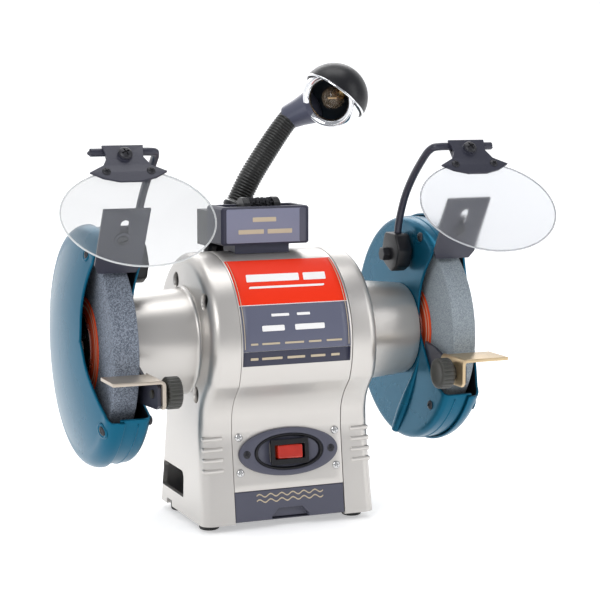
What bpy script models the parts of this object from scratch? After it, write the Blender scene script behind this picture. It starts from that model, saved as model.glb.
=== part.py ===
"""Bench grinder with two 150 mm wheels, guards, eye shields, tool rests, tray, dressing tool and lamp.

Units are metres, +Z is up, +X is to the right seen from the front and the front faces -Y.
Everything is modelled round the centre of the wheel shaft, and one empty lifts the whole machine
so that its feet stand on Z = 0 and its box is centred on the origin.
"""
import math

import bmesh
import bpy
from mathutils import Matrix, Vector

# ---------------------------------------------------------------- driving dimensions
GAP = 0.0003                 # clearance between pieces that touch
SHAFT_Z = 0.139              # shaft height above the bench
SHAFT_Y = 0.02321            # shaft behind the middle of the footprint

BODY_RADIUS = 0.0665         # round motor body
SEAM_X = 0.0444              # seam between the motor shell and an end cap
CAP_X = 0.0700               # outer side face of an end cap
BODY_BOTTOM = -0.133
WALL = 0.0032                # cast and pressed wall of the body
SHELL_FRONT_END = -0.1092    # the shell's front wall stops here, above the tray

NECK_END_X = 0.116
NECK_ROOT_RADIUS = 0.039
NECK_END_RADIUS = 0.0358
SHAFT_RADIUS = 0.006
BEARING_RADIUS = 0.016

WHEEL_RADIUS = 0.075
WHEEL_BORE = 0.00635
WHEEL_INNER_X = 0.1245
WHEEL_OUTER_X = 0.1435
WHEEL_MID_X = (WHEEL_INNER_X + WHEEL_OUTER_X) / 2

GUARD_RADIUS = 0.088         # inner guard's band; the cover laps over it
COVER_RADIUS = 0.0903
COVER_EDGE_X = 0.1365        # the cover laps over the band from here outwards
COVER_RIM_X = 0.1495         # flat rim of the cover, round which its face domes outwards
COVER_DOME = 0.0120
GUARD_PLATE_X = 0.1163       # inner guard's plate, bolted to the neck
GUARD_SHEET = 0.0018

REST_TOP_Z = -0.0105
KNOB_Y, KNOB_Z = -0.092, -0.0222

PANEL_TOP = (-0.0440, -0.066)            # (y, z) where the flat front panel starts
PANEL_TILT = math.atan2(0.009, 0.067)    # the front panel leans out towards the base
SWITCH_Z = -0.0818
POCKETS = ((-0.0450, 0.0345), (-0.0305, -0.0365), (0.0190, 0.0440), (0.0300, -0.0365))

SHIELD_PIVOT = (-0.0695, 0.1460)         # (y, z) of the cross rod that carries a shield
SHIELD_TILT = math.radians(41)
CLAMP_PIVOT = (-0.005, 0.060)            # (y, z) of the bolt that the shield arm swings on
ARM_X = 0.107

SPARK_TOP = (-0.080, 0.107)              # (y, z) of a spark plate's top edge
SPARK_TILT = math.radians(30.5)

NECK_LENGTHWISE = Vector((0.464, 0.0, 0.886))
LAMP_ROOT = Vector((-0.0078, 0.038, 0.100))
LAMP_ELBOW = Vector((0.0140, 0.038, 0.1370))
LAMP_WRIST = Vector((0.0380, 0.041, 0.1670))
HEAD_CENTRE = Vector((0.0646, 0.016, 0.1823))
HEAD_AIM = Vector((-0.70, -0.69, -0.21)).normalized()
HOOD_UP = Vector((0.62, 0.0, 0.78)).normalized()
HEAD_RADIUS = 0.0244
BEND_LIMIT = math.radians(18)

STAR_X, STAR_Y, STAR_Z = -0.0055, -0.001, 0.0975

# ---------------------------------------------------------------- scene and materials
for old in list(bpy.data.objects):
    bpy.data.objects.remove(old, do_unlink=True)

SCENE = bpy.context.scene
PARTS = bpy.data.collections.new("bench_grinder")
CUTTERS = bpy.data.collections.new("cutters")
SCENE.collection.children.link(PARTS)
SCENE.collection.children.link(CUTTERS)

PAINTS = {
    "silver_paint": ((0.60, 0.59, 0.57), 0.38, 0.45),
    "teal_paint": ((0.010, 0.105, 0.190), 0.25, 0.05),
    "slate_plastic": ((0.075, 0.075, 0.105), 0.50, 0.0),
    "slate_steel": ((0.045, 0.045, 0.060), 0.45, 0.6),
    "black_rubber": ((0.020, 0.020, 0.022), 0.75, 0.0),
    "black_plastic": ((0.030, 0.030, 0.030), 0.45, 0.0),
    "bright_steel": ((0.62, 0.62, 0.62), 0.28, 1.0),
    "laminated_steel": ((0.30, 0.31, 0.33), 0.50, 1.0),
    "coarse_stone": ((0.24, 0.29, 0.34), 0.95, 0.0),
    "fine_stone": ((0.36, 0.42, 0.45), 0.92, 0.0),
    "orange_paper": ((0.85, 0.09, 0.02), 0.70, 0.0),
    "yellow_zinc": ((0.60, 0.42, 0.22), 0.35, 0.9),
    "plain_zinc": ((0.50, 0.46, 0.40), 0.38, 0.9),
    "clear_plastic": ((0.92, 0.94, 0.95), 0.06, 0.0),
    "chrome": ((0.80, 0.81, 0.83), 0.10, 1.0),
    "bulb_glass": ((0.90, 0.88, 0.82), 0.05, 0.0),
    "red_plastic": ((0.75, 0.03, 0.01), 0.30, 0.0),
    "capacitor_can": ((0.70, 0.70, 0.72), 0.35, 0.8),
}


def paint(name):
    """Return the named material, made once."""
    if name in bpy.data.materials:
        return bpy.data.materials[name]
    colour, roughness, metallic = PAINTS[name]
    material = bpy.data.materials.new(name)
    material.use_nodes = True
    shader = material.node_tree.nodes["Principled BSDF"]
    shader.inputs["Base Color"].default_value = (*colour, 1.0)
    shader.inputs["Roughness"].default_value = roughness
    shader.inputs["Metallic"].default_value = metallic
    material.diffuse_color = (*colour, 1.0)
    return material


def empty(name, place, parent=None):
    """A guide at a joint's axis; the pieces of the moving body hang on it."""
    guide = bpy.data.objects.new(name, None)
    guide.empty_display_size = 0.01
    PARTS.objects.link(guide)
    guide.location = place
    if parent:
        guide.parent = parent
        guide.location = Vector(place) - Vector(centre_of[parent.name])
    centre_of[name] = tuple(place)
    return guide


centre_of = {}
MACHINE = empty("machine", (0, 0, 0))
MACHINE.location = (0, SHAFT_Y, SHAFT_Z)


def finish(mesh, name, material, body=None):
    """Make a part object from a mesh given round the shaft centre, hung on its body's empty."""
    part = bpy.data.objects.new(name, mesh)
    PARTS.objects.link(part)
    part.parent = body or MACHINE
    part.location = -Vector(centre_of[part.parent.name])
    mesh.materials.clear()
    mesh.materials.append(paint(material))
    mesh.shade_smooth()
    mesh.set_sharp_from_angle(angle=math.radians(35))
    return part


def cutter(mesh, name):
    """Make a hidden tool object, in the same frame as the parts."""
    tool = bpy.data.objects.new(name, mesh)
    CUTTERS.objects.link(tool)
    tool.parent = MACHINE
    tool.hide_render = True
    tool.display_type = "WIRE"
    return tool


def combine(part, mesh, operation):
    """Join a shape to a part (UNION) or take it away (DIFFERENCE)."""
    tool = cutter(mesh, f"{part.name}_{operation.lower()}_{len(part.modifiers)}")
    step = part.modifiers.new(operation.title(), "BOOLEAN")
    step.operation = operation
    step.solver = "EXACT"
    step.object = tool


def cut(part, *meshes):
    for mesh in meshes:
        combine(part, mesh, "DIFFERENCE")


def join(part, *meshes):
    for mesh in meshes:
        combine(part, mesh, "UNION")


# ---------------------------------------------------------------- mesh helpers
def mesh_of(bm, name="shape"):
    bmesh.ops.recalc_face_normals(bm, faces=bm.faces)
    mesh = bpy.data.meshes.new(name)
    bm.to_mesh(mesh)
    bm.free()
    return mesh


def box(low, high):
    """A box between two corners."""
    low, high = Vector(low), Vector(high)
    bm = bmesh.new()
    bmesh.ops.create_cube(bm, size=1.0)
    size = Matrix.Diagonal((*(high - low), 1.0))
    bmesh.ops.transform(bm, matrix=Matrix.Translation((low + high) / 2) @ size, verts=bm.verts)
    return mesh_of(bm)


def cone(start, end, start_radius, end_radius, sides=24):
    """A cylinder or cone between two points."""
    start, end = Vector(start), Vector(end)
    along = end - start
    bm = bmesh.new()
    bmesh.ops.create_cone(bm, cap_ends=True, segments=sides, radius1=start_radius,
                          radius2=end_radius, depth=along.length)
    turn = along.to_track_quat("Z", "Y").to_matrix().to_4x4()
    bmesh.ops.transform(bm, matrix=Matrix.Translation((start + end) / 2) @ turn, verts=bm.verts)
    return mesh_of(bm)


def cylinder(start, end, radius, sides=24):
    return cone(start, end, radius, radius, sides)


def ball(centre, radius, rings=10):
    bm = bmesh.new()
    bmesh.ops.create_uvsphere(bm, u_segments=2 * rings, v_segments=rings, radius=radius,
                              matrix=Matrix.Translation(centre))
    return mesh_of(bm)


def evaluated(thing):
    """The finished mesh of a temporary object with its doubles merged; the object is removed."""
    PARTS.objects.link(thing)
    bpy.context.view_layer.update()
    mesh = bpy.data.meshes.new_from_object(thing.evaluated_get(bpy.context.evaluated_depsgraph_get()))
    place = thing.matrix_world.copy()
    bm = bmesh.new()
    bm.from_mesh(mesh)
    bmesh.ops.transform(bm, matrix=place, verts=bm.verts)
    bmesh.ops.remove_doubles(bm, verts=bm.verts, dist=0.00001)
    bpy.data.objects.remove(thing, do_unlink=True)
    return mesh_of(bm)


def turned(profile, place, along, steps=32, closed=False):
    """Turn a profile of (radius, height) about an axis through a place.

    An open profile starts and ends on the axis; a closed one makes a ring.
    """
    count = len(profile)
    edges = [(i, i + 1) for i in range(count - 1)] + ([(count - 1, 0)] if closed else [])
    mesh = bpy.data.meshes.new("profile")
    mesh.from_pydata([(radius, 0.0, height) for radius, height in profile], edges, [])
    thing = bpy.data.objects.new("turned", mesh)
    screw = thing.modifiers.new("Screw", "SCREW")
    screw.axis = "Z"
    screw.steps = steps
    screw.render_steps = steps
    screw.use_merge_vertices = True
    screw.merge_threshold = 0.00001
    thing.matrix_world = (Matrix.Translation(place)
                          @ Vector(along).to_track_quat("Z", "Y").to_matrix().to_4x4())
    return evaluated(thing)


def prism(outline, axis, low, high):
    """A flat outline made thick along X, Y or Z.

    The outline's points are (y, z) for X, (x, z) for Y and (x, y) for Z.
    """
    curve = bpy.data.curves.new("outline", "CURVE")
    curve.dimensions = "2D"
    curve.fill_mode = "BOTH"
    curve.extrude = (high - low) / 2
    spline = curve.splines.new("POLY")
    spline.points.add(len(outline) - 1)
    for point, (first, second) in zip(spline.points, outline):
        point.co = (first, second, 0.0, 1.0)
    spline.use_cyclic_u = True
    thing = bpy.data.objects.new("prism", curve)
    middle = (low + high) / 2
    frames = {
        "X": Matrix(((0, 0, 1, middle), (1, 0, 0, 0), (0, 1, 0, 0), (0, 0, 0, 1))),
        "Y": Matrix(((1, 0, 0, 0), (0, 0, -1, middle), (0, 1, 0, 0), (0, 0, 0, 1))),
        "Z": Matrix(((1, 0, 0, 0), (0, 1, 0, 0), (0, 0, 1, middle), (0, 0, 0, 1))),
    }
    thing.matrix_world = frames[axis]
    return evaluated(thing)


def tube(points, radius, sides_level=2):
    """A round bar along a smooth route of points; radius is one number or one for each point."""
    curve = bpy.data.curves.new("route", "CURVE")
    curve.dimensions = "3D"
    curve.bevel_depth = 1.0
    curve.bevel_resolution = sides_level
    curve.use_fill_caps = True
    spline = curve.splines.new("POLY")
    spline.points.add(len(points) - 1)
    radii = radius if isinstance(radius, list) else [radius] * len(points)
    for point, place, size in zip(spline.points, points, radii):
        point.co = (*place, 1.0)
        point.radius = size
    return evaluated(bpy.data.objects.new("tube", curve))


def leaned(mesh, matrix):
    """Move a mesh into a tilted frame; a left-handed frame would turn it inside out."""
    mesh.transform(matrix)
    if matrix.determinant() < 0:
        mesh.flip_normals()
    return mesh


def arc(centre, radius, first, last, steps):
    """Points on a circle from one angle to another, in degrees."""
    angles = [math.radians(first + (last - first) * i / steps) for i in range(steps + 1)]
    return [(centre[0] + radius * math.cos(a), centre[1] + radius * math.sin(a)) for a in angles]


def smooth(points, per_span):
    """A Catmull-Rom curve through points of any dimension."""
    points = [Vector(point) for point in points]
    ends = [2 * points[0] - points[1], *points, 2 * points[-1] - points[-2]]
    route = []
    for i in range(len(points) - 1):
        a, b, c, d = ends[i:i + 4]
        for k in range(per_span):
            t = k / per_span
            route.append(0.5 * (2 * b + (c - a) * t + (2 * a - 5 * b + 4 * c - d) * t ** 2
                                + (3 * b - a - 3 * c + d) * t ** 3))
    return route + [points[-1]]


def ring(inner, outer, low, high):
    """A closed profile for turned(): a flat washer, sleeve or wheel."""
    return [(outer, high), (outer, low), (inner, low), (inner, high)]


# ---------------------------------------------------------------- motor body
def body_outline(inset=0.0, bottom=BODY_BOTTOM):
    """The body seen from the side: a round motor on a waisted foot, as (y, z) points.

    With an inset the whole outline moves inwards, for the hollow inside.
    """
    front = arc((0, 0), BODY_RADIUS - inset, 90, 204, 14)
    waist = [(-0.0500, -0.0395), (-0.0447, -0.0510), PANEL_TOP]
    waist = [(y + inset, z) for y, z in waist]
    front += [(p[0], p[1]) for p in smooth([front[-1], *waist], 2)][1:]
    foot_y = PANEL_TOP[0] - (PANEL_TOP[1] - bottom) * math.tan(PANEL_TILT) + inset
    front.append((foot_y, bottom))
    back = [(-y, z) for y, z in reversed(front[1:])]
    return front + back


def motor_shell():
    shell = finish(prism(body_outline(), "X", GAP / 2 - SEAM_X, SEAM_X - GAP / 2),
                   "motor_shell", "silver_paint")
    cut(shell,
        prism(body_outline(WALL, -0.14), "X", -0.05, 0.05),
        box((-0.05, -0.07, -0.14), (0.05, -0.03, SHELL_FRONT_END)),
        leaned(box((-0.0140, -0.02, -0.0083), (0.0140, 0.02, 0.0083)), on_panel(SWITCH_Z)))


def on_panel(z):
    """The frame of the front panel at a height: its own -Y points straight out of the panel."""
    y = PANEL_TOP[0] - (PANEL_TOP[1] - z) * math.tan(PANEL_TILT)
    return Matrix.Translation((0, y, z)) @ Matrix.Rotation(-PANEL_TILT, 4, "X")


def end_cap(side, name):
    """A cast end bell: foot, side window, screw pockets, corner ribs and the long bearing neck."""
    low, high = sorted((side * (SEAM_X + GAP / 2), side * CAP_X))
    mesh = prism(body_outline(), "X", low, high)
    weights = mesh.attributes.new("bevel_weight_edge", "FLOAT", "EDGE")
    for edge in mesh.edges:
        ends = [mesh.vertices[i].co.x * side for i in edge.vertices]
        weights.data[edge.index].value = 1.0 if min(ends) > CAP_X - 0.001 else 0.0
    cap = finish(mesh, name, "silver_paint")
    rounding = cap.modifiers.new("Bevel", "BEVEL")
    rounding.limit_method = "WEIGHT"
    rounding.width = 0.008
    rounding.segments = 2
    hollow = sorted((side * 0.040, side * (CAP_X - 0.004)))
    cut(cap, prism(body_outline(WALL + 0.0004, -0.14), "X", *hollow))
    along = (side, 0, 0)
    neck = [(0, NECK_END_X), (NECK_END_RADIUS - 0.0008, NECK_END_X), (NECK_END_RADIUS, 0.1152),
            (NECK_ROOT_RADIUS - 0.0004, 0.0770), (NECK_ROOT_RADIUS + 0.0012, 0.0722),
            (NECK_ROOT_RADIUS + 0.0045, CAP_X - 0.0002), (NECK_ROOT_RADIUS + 0.0045, 0.0675),
            (0, 0.0675)]
    join(cap, turned(neck, (0, 0, 0), along, 24))
    bore = [(0, 0.130), (0.0076, 0.130), (0.0076, 0.1103), (BEARING_RADIUS + GAP, 0.1103),
            (BEARING_RADIUS + GAP, 0.0985), (0.031, 0.0985), (0.031, 0.060), (0, 0.060)]
    cut(cap, turned(bore, (0, 0, 0), along, 20))
    for y, z in POCKETS:
        cut(cap, cylinder((side * 0.0665, y, z), (side * 0.08, y, z), 0.0068, 8))
    for row in range(4):
        z = -0.0687 - 0.0079 * row
        y = PANEL_TOP[0] - (PANEL_TOP[1] - z) * math.tan(PANEL_TILT)
        inner, outer = sorted((side * 0.0515, side * (CAP_X + 0.0008)))
        join(cap, box((inner, y - 0.0009, z - 0.0020), (outer, y + 0.0045, z + 0.0020)))
    window = [(0.046, -0.120), (-0.006, -0.120), (-0.006, -0.104), (-0.003, -0.100), (0.040, -0.100),
              (0.046, -0.106)]
    through = sorted((side * 0.060, side * 0.080))
    cut(cap, prism(window, "X", *through),
        box((min(through), 0.021, -0.14), (max(through), 0.033, -0.1285)))


def body_inside():
    """Stator, bearings, capacitor and the plate that closes the bottom."""
    finish(turned(ring(0.028, 0.0590, -0.022, 0.022), (0, 0, 0), (1, 0, 0), 24, True),
           "stator_core", "laminated_steel")
    for side, name in ((-1, "left"), (1, "right")):
        finish(turned(ring(SHAFT_RADIUS + GAP, BEARING_RADIUS, 0.0995, 0.1095), (0, 0, 0),
                      (side, 0, 0), 20, True), f"bearing_{name}", "bright_steel")
    finish(cylinder((-0.025, 0.022, -0.086), (0.025, 0.022, -0.086), 0.015), "run_capacitor",
           "capacitor_can")
    finish(box((-0.0655, -0.0480, -0.1330), (0.0655, 0.0490, -0.1319)), "base_plate",
           "slate_steel")
    gland = [(0, 0.0610), (0.0036, 0.0610), (0.0036, 0.0640), (0.0060, 0.0640), (0.0075, 0.0560),
             (0.0095, 0.0560), (0.0095, 0.0496), (0, 0.0496)]
    finish(turned(gland, (-0.022, 0, -0.095), (0, 1, 0), 16), "cable_gland", "black_rubber")
    for x, y, name in ((-0.0585, -0.033, "front_left"), (0.0585, -0.033, "front_right"),
                       (-0.0585, 0.033, "back_left"), (0.0585, 0.033, "back_right")):
        foot = [(0, 0), (0.0078, 0), (0.0078, -0.0042), (0.0066, -0.0057), (0, -0.0057)]
        finish(turned(foot, (x, y, BODY_BOTTOM - GAP), (0, 0, 1), 16), f"foot_{name}",
               "black_rubber")


# ---------------------------------------------------------------- switch and tray
def switch():
    """Oval bezel on the front panel, the switch body through it, and its rocker."""
    place = on_panel(SWITCH_Z)
    oval = [(0.040 * math.cos(a), 0.018 * math.sin(a)) for a in
            (2 * math.pi * i / 32 for i in range(32))]
    bezel = finish(leaned(prism(oval, "Y", -0.0032, -GAP), place), "switch_bezel", "slate_plastic")
    cut(bezel, leaned(box((-0.0140, -0.02, -0.0083), (0.0140, 0.02, 0.0083)), place))
    body = finish(leaned(box((-0.0136, -0.0040, -0.0080), (0.0136, 0.022, 0.0080)), place),
                  "switch_body", "black_plastic")
    join(body, leaned(box((-0.0152, -0.0048, -0.0094), (0.0152, -0.0035, 0.0094)), place))
    cut(body, leaned(box((-0.0120, -0.0100, -0.0054), (0.0120, 0.0070, 0.0054)), place))
    pivot_y, pivot_z = (place @ Vector((0, 0.0020, 0)))[1:]
    rocker_body = empty("rocker_axis", (0, pivot_y, pivot_z), MACHINE)
    rocker = [(-0.0096, -0.0036), (0, -0.0050), (0.0096, -0.0068), (0.0090, 0.0020), (0, 0.0058),
              (-0.0090, 0.0040)]
    finish(leaned(prism(rocker, "Z", -0.0050, 0.0050), place), "rocker_switch", "red_plastic",
           rocker_body)


def tray():
    """The tray that pulls out of the base, with a finger notch under its front."""
    body = empty("tray_axis", (0, -0.050, -0.122), MACHINE)
    top, bottom, back = SHELL_FRONT_END - GAP, -0.1316, 0.038
    face = [PANEL_TOP[0] - (PANEL_TOP[1] - z) * math.tan(PANEL_TILT) for z in (top, bottom)]
    outline = [(face[0], top), (face[1], bottom), (back, bottom), (back, top)]
    part = finish(prism(outline, "X", -0.0441, 0.0441), "coolant_tray", "slate_plastic", body)
    notch = [(-0.0150, -0.135), (0.0150, -0.135), (0.0150, -0.1295), (0.0095, -0.1235),
             (-0.0095, -0.1235), (-0.0150, -0.1295)]
    cut(part, box((-0.0415, -0.0425, -0.1292), (0.0415, back - 0.0025, -0.10)),
        prism(notch, "Y", -0.060, -0.0465))


# ---------------------------------------------------------------- rotor and wheels
def rotor():
    """Everything that spins: shaft, rotor core, and on each side flanges, papers, wheel and nut."""
    body = empty("rotor_axis", (0, 0, 0), MACHINE)
    half = [(0.0045, 0.1578), (SHAFT_RADIUS, 0.1563), (SHAFT_RADIUS, 0.0960), (0.0080, 0.0955)]
    shaft = [(0, 0.1578), *half, *[(r, -x) for r, x in reversed(half)], (0, -0.1578)]
    finish(turned(shaft, (0, 0, 0), (1, 0, 0), 18), "rotor_shaft", "bright_steel", body)
    finish(turned(ring(0.0083, 0.0274, -0.022, 0.022), (0, 0, 0), (1, 0, 0), 24, True),
           "rotor_core", "laminated_steel", body)
    inner_flange = [(0.0110, 0.1233), (0.0250, 0.1233), (0.0250, 0.1215), (0.0180, 0.1186),
                    (WHEEL_BORE, 0.1186), (WHEEL_BORE, 0.1225), (0.0100, 0.1233)]
    outer_flange = [(0.0180, 0.1494), (0.0250, 0.1466), (0.0250, 0.1447), (0.0100, 0.1447),
                    (WHEEL_BORE, 0.1455), (WHEEL_BORE, 0.1494)]
    stone = [(WHEEL_RADIUS - 0.0008, WHEEL_OUTER_X), (WHEEL_RADIUS, WHEEL_OUTER_X - 0.0008),
             (WHEEL_RADIUS, WHEEL_INNER_X + 0.0008), (WHEEL_RADIUS - 0.0008, WHEEL_INNER_X),
             (WHEEL_BORE, WHEEL_INNER_X), (WHEEL_BORE, WHEEL_OUTER_X)]
    for side, name, grit in ((-1, "left", "coarse"), (1, "right", "fine")):
        along, centre = (side, 0, 0), (0, 0, 0)
        finish(turned(stone, centre, along, 32, True), f"wheel_{grit}", f"{grit}_stone", body)
        finish(turned(inner_flange, centre, along, 20, True), f"inner_flange_{name}",
               "bright_steel", body)
        finish(turned(outer_flange, centre, along, 20, True), f"outer_flange_{name}",
               "bright_steel", body)
        finish(turned(ring(0.0120, 0.0380, 0.1236, 0.1242), centre, along, 24, True),
               f"inner_blotter_{name}", "orange_paper", body)
        finish(turned(ring(0.0120, 0.0380, 0.1438, 0.1444), centre, along, 24, True),
               f"outer_blotter_{name}", "orange_paper", body)
        nut = finish(cylinder((side * 0.1497, 0, 0), (side * 0.1555, 0, 0), 0.0110, 6),
                     f"wheel_nut_{name}", "bright_steel", body)
        cut(nut, cylinder((side * 0.14, 0, 0), (side * 0.17, 0, 0), SHAFT_RADIUS + GAP, 20))


# ---------------------------------------------------------------- guards
def opening(edge):
    """A guard is open in front of this edge, given as (y, z) points from the top to the bottom."""
    curve = [(p[0], p[1]) for p in smooth(edge, 3)]
    return [*curve, (-0.110, edge[-1][1]), (-0.110, edge[0][1])]


def spark_frame(side):
    """The frame of a spark plate: X across, Y down the plate, Z out of its front."""
    down = Vector((0, math.sin(SPARK_TILT), -math.cos(SPARK_TILT)))
    out = Vector((0, -math.cos(SPARK_TILT), -math.sin(SPARK_TILT)))
    return Matrix.Translation((side * WHEEL_MID_X, *SPARK_TOP)) @ Matrix(
        ((1, down[0], out[0], 0), (0, down[1], out[1], 0), (0, down[2], out[2], 0), (0, 0, 0, 1)))


def guard(side, name):
    """Two pressed halves: a plate with a band, bolted to the neck, and a domed cover that laps it."""
    sheet, corner = GUARD_SHEET, 0.0120
    knee = (COVER_RADIUS - corner, COVER_RIM_X - corner)
    dome = [(knee[0] * k / 4, COVER_RIM_X + COVER_DOME * (1 - (k / 4) ** 2)) for k in range(4)]
    outside = [*dome, *[(r, x) for r, x in reversed(arc(knee, corner, 0, 90, 4))],
               (COVER_RADIUS, COVER_EDGE_X)]
    inside = [(COVER_RADIUS - sheet, COVER_EDGE_X), *arc(knee, corner - sheet, 0, 90, 4),
              *[(r, x - sheet) for r, x in reversed(dome)]]
    cover = finish(turned(outside + inside, (0, 0, 0), (side, 0, 0), 32), f"guard_cover_{name}",
                   "teal_paint")
    cover_edge = [(-0.0490, 0.0860), (-0.0450, 0.0720), (-0.0395, 0.0560), (-0.0370, 0.0380),
                  (-0.0390, 0.0160), (-0.0455, -0.0050), (-0.0560, -0.0225), (-0.0665, -0.0370),
                  (-0.0740, -0.0450)]
    across = sorted((side * 0.10, side * 0.18))
    cut(cover, prism(opening(cover_edge), "X", *across))

    radius, plate_x, lip_x = GUARD_RADIUS, GUARD_PLATE_X, COVER_EDGE_X + 0.0032
    plate = [(0.0125, plate_x + sheet), (radius - 0.0060, plate_x + sheet),
             (radius - sheet, plate_x + 0.0060), (radius - sheet, lip_x), (radius, lip_x),
             (radius, plate_x + 0.0045), (radius - 0.0045, plate_x), (0.0125, plate_x)]
    inner = finish(turned(plate, (0, 0, 0), (side, 0, 0), 32, True), f"guard_inner_{name}",
                   "teal_paint")
    inner_edge = [(-0.0637, 0.0819), (-0.0533, 0.0642), (-0.0400, 0.0480), (-0.0318, 0.0300),
                  (-0.0305, 0.0060), (-0.0400, -0.0120), (-0.0560, -0.0320), (-0.0780, -0.0435)]
    cut(inner, prism(opening(inner_edge), "X", *across))
    frame = spark_frame(side)
    join(inner, leaned(box((-0.0076, 0.0160, -0.0033), (0.0030, 0.0520, -0.0013)),
                       frame @ Matrix.Diagonal((side, 1, 1, 1))),
         leaned(cylinder((0, 0.0255, -0.0030), (0, 0.0255, 0.0030), 0.0025, 12), frame),
         leaned(cylinder((0, 0.0255, 0.0012), (0, 0.0255, 0.0034), 0.0048, 16), frame))
    spark_plate(side, name, frame)


def spark_plate(side, name, frame):
    """The slotted plate that stops sparks above the wheel; it slides down as the wheel wears."""
    body = empty(f"spark_axis_{name}", frame @ Vector((0, 0.0255, 0)), MACHINE)
    outline = [(-0.0172, 0), (0.0172, 0), (0.0172, 0.0480), (0.0140, 0.0545), (-0.0140, 0.0545),
               (-0.0172, 0.0480)]
    plate = finish(leaned(prism(outline, "Z", -0.0010, 0.0009), frame), f"spark_plate_{name}",
                   "slate_steel", body)
    slot = (arc((0, 0.0120), 0.0031, 180, 360, 6) + arc((0, 0.0265), 0.0031, 0, 180, 6))
    cut(plate, leaned(prism(slot, "Z", -0.01, 0.01), frame))


# ---------------------------------------------------------------- tool rests
def tool_rest(side, name, metal):
    """An L-shaped rest in front of the wheel, clamped by a knob through its slotted leg."""
    bracket_outline = [(-0.0390, -0.0060), (-0.0560, -0.0090), (-0.0700, -0.0140),
                       (-0.1010, -0.0140), (-0.1035, -0.0165), (-0.1035, -0.0290),
                       (-0.0990, -0.0320), (-0.0640, -0.0340), (-0.0390, -0.0360)]
    bracket = finish(prism(bracket_outline, "X", *sorted((side * 0.1184, side * 0.1206))),
                     f"rest_bracket_{name}", "slate_steel")
    cut(bracket, cylinder((side * 0.11, KNOB_Y, KNOB_Z), (side * 0.13, KNOB_Y, KNOB_Z), 0.0034, 16))

    slide = empty(f"rest_axis_{name}", (side * WHEEL_MID_X, KNOB_Y, REST_TOP_Z), MACHINE)
    low, high = sorted((side * 0.1156, side * 0.1540))
    rest = finish(box((low, -0.1070, REST_TOP_Z - 0.0025), (high, -0.0772, REST_TOP_Z)),
                  f"tool_rest_{name}", metal, slide)
    leg = [(-0.1070, REST_TOP_Z - 0.0005), (-0.1070, -0.0285), (-0.1040, -0.0315),
           (-0.0860, -0.0315), (-0.0740, -0.0190), (-0.0710, REST_TOP_Z - 0.0005)]
    join(rest, prism(leg, "X", *sorted((side * 0.1156, side * 0.1181))))
    slot = (arc((-0.0830, KNOB_Z), 0.0033, -90, 90, 6) + arc((-0.0930, KNOB_Z), 0.0033, 90, 270, 6))
    cut(rest, prism(slot, "X", *sorted((side * 0.11, side * 0.125))))
    edge = rest.modifiers.new("Bevel", "BEVEL")
    edge.width = 0.0008
    edge.segments = 1
    edge.limit_method = "ANGLE"
    edge.angle_limit = math.radians(60)

    turn = empty(f"knob_axis_{name}", (side * 0.112, KNOB_Y, KNOB_Z), MACHINE)
    knob = [(0, 0.1014), (0.0105, 0.1014), (0.0116, 0.1026), (0.0116, 0.1108), (0.0105, 0.1120),
            (0.0060, 0.1120), (0.0060, 0.1153), (0.0029, 0.1153), (0.0029, 0.1222), (0, 0.1222)]
    knob = [(r, x) for r, x in reversed(knob)]
    finish(turned(knob, (0, KNOB_Y, KNOB_Z), (side, 0, 0), 18), f"rest_knob_{name}",
           "black_plastic", turn)


# ---------------------------------------------------------------- eye shields
def shield_frame(side):
    """The frame of a tilted shield: X across, Y down the shield, Z straight out of its front."""
    down = Vector((0, -math.sin(SHIELD_TILT), -math.cos(SHIELD_TILT)))
    out = Vector((0, -math.cos(SHIELD_TILT), math.sin(SHIELD_TILT)))
    return Matrix.Translation((side * 0.1345, *SHIELD_PIVOT)) @ Matrix(
        ((1, down[0], out[0], 0), (0, down[1], out[1], 0), (0, down[2], out[2], 0), (0, 0, 0, 1)))


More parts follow.
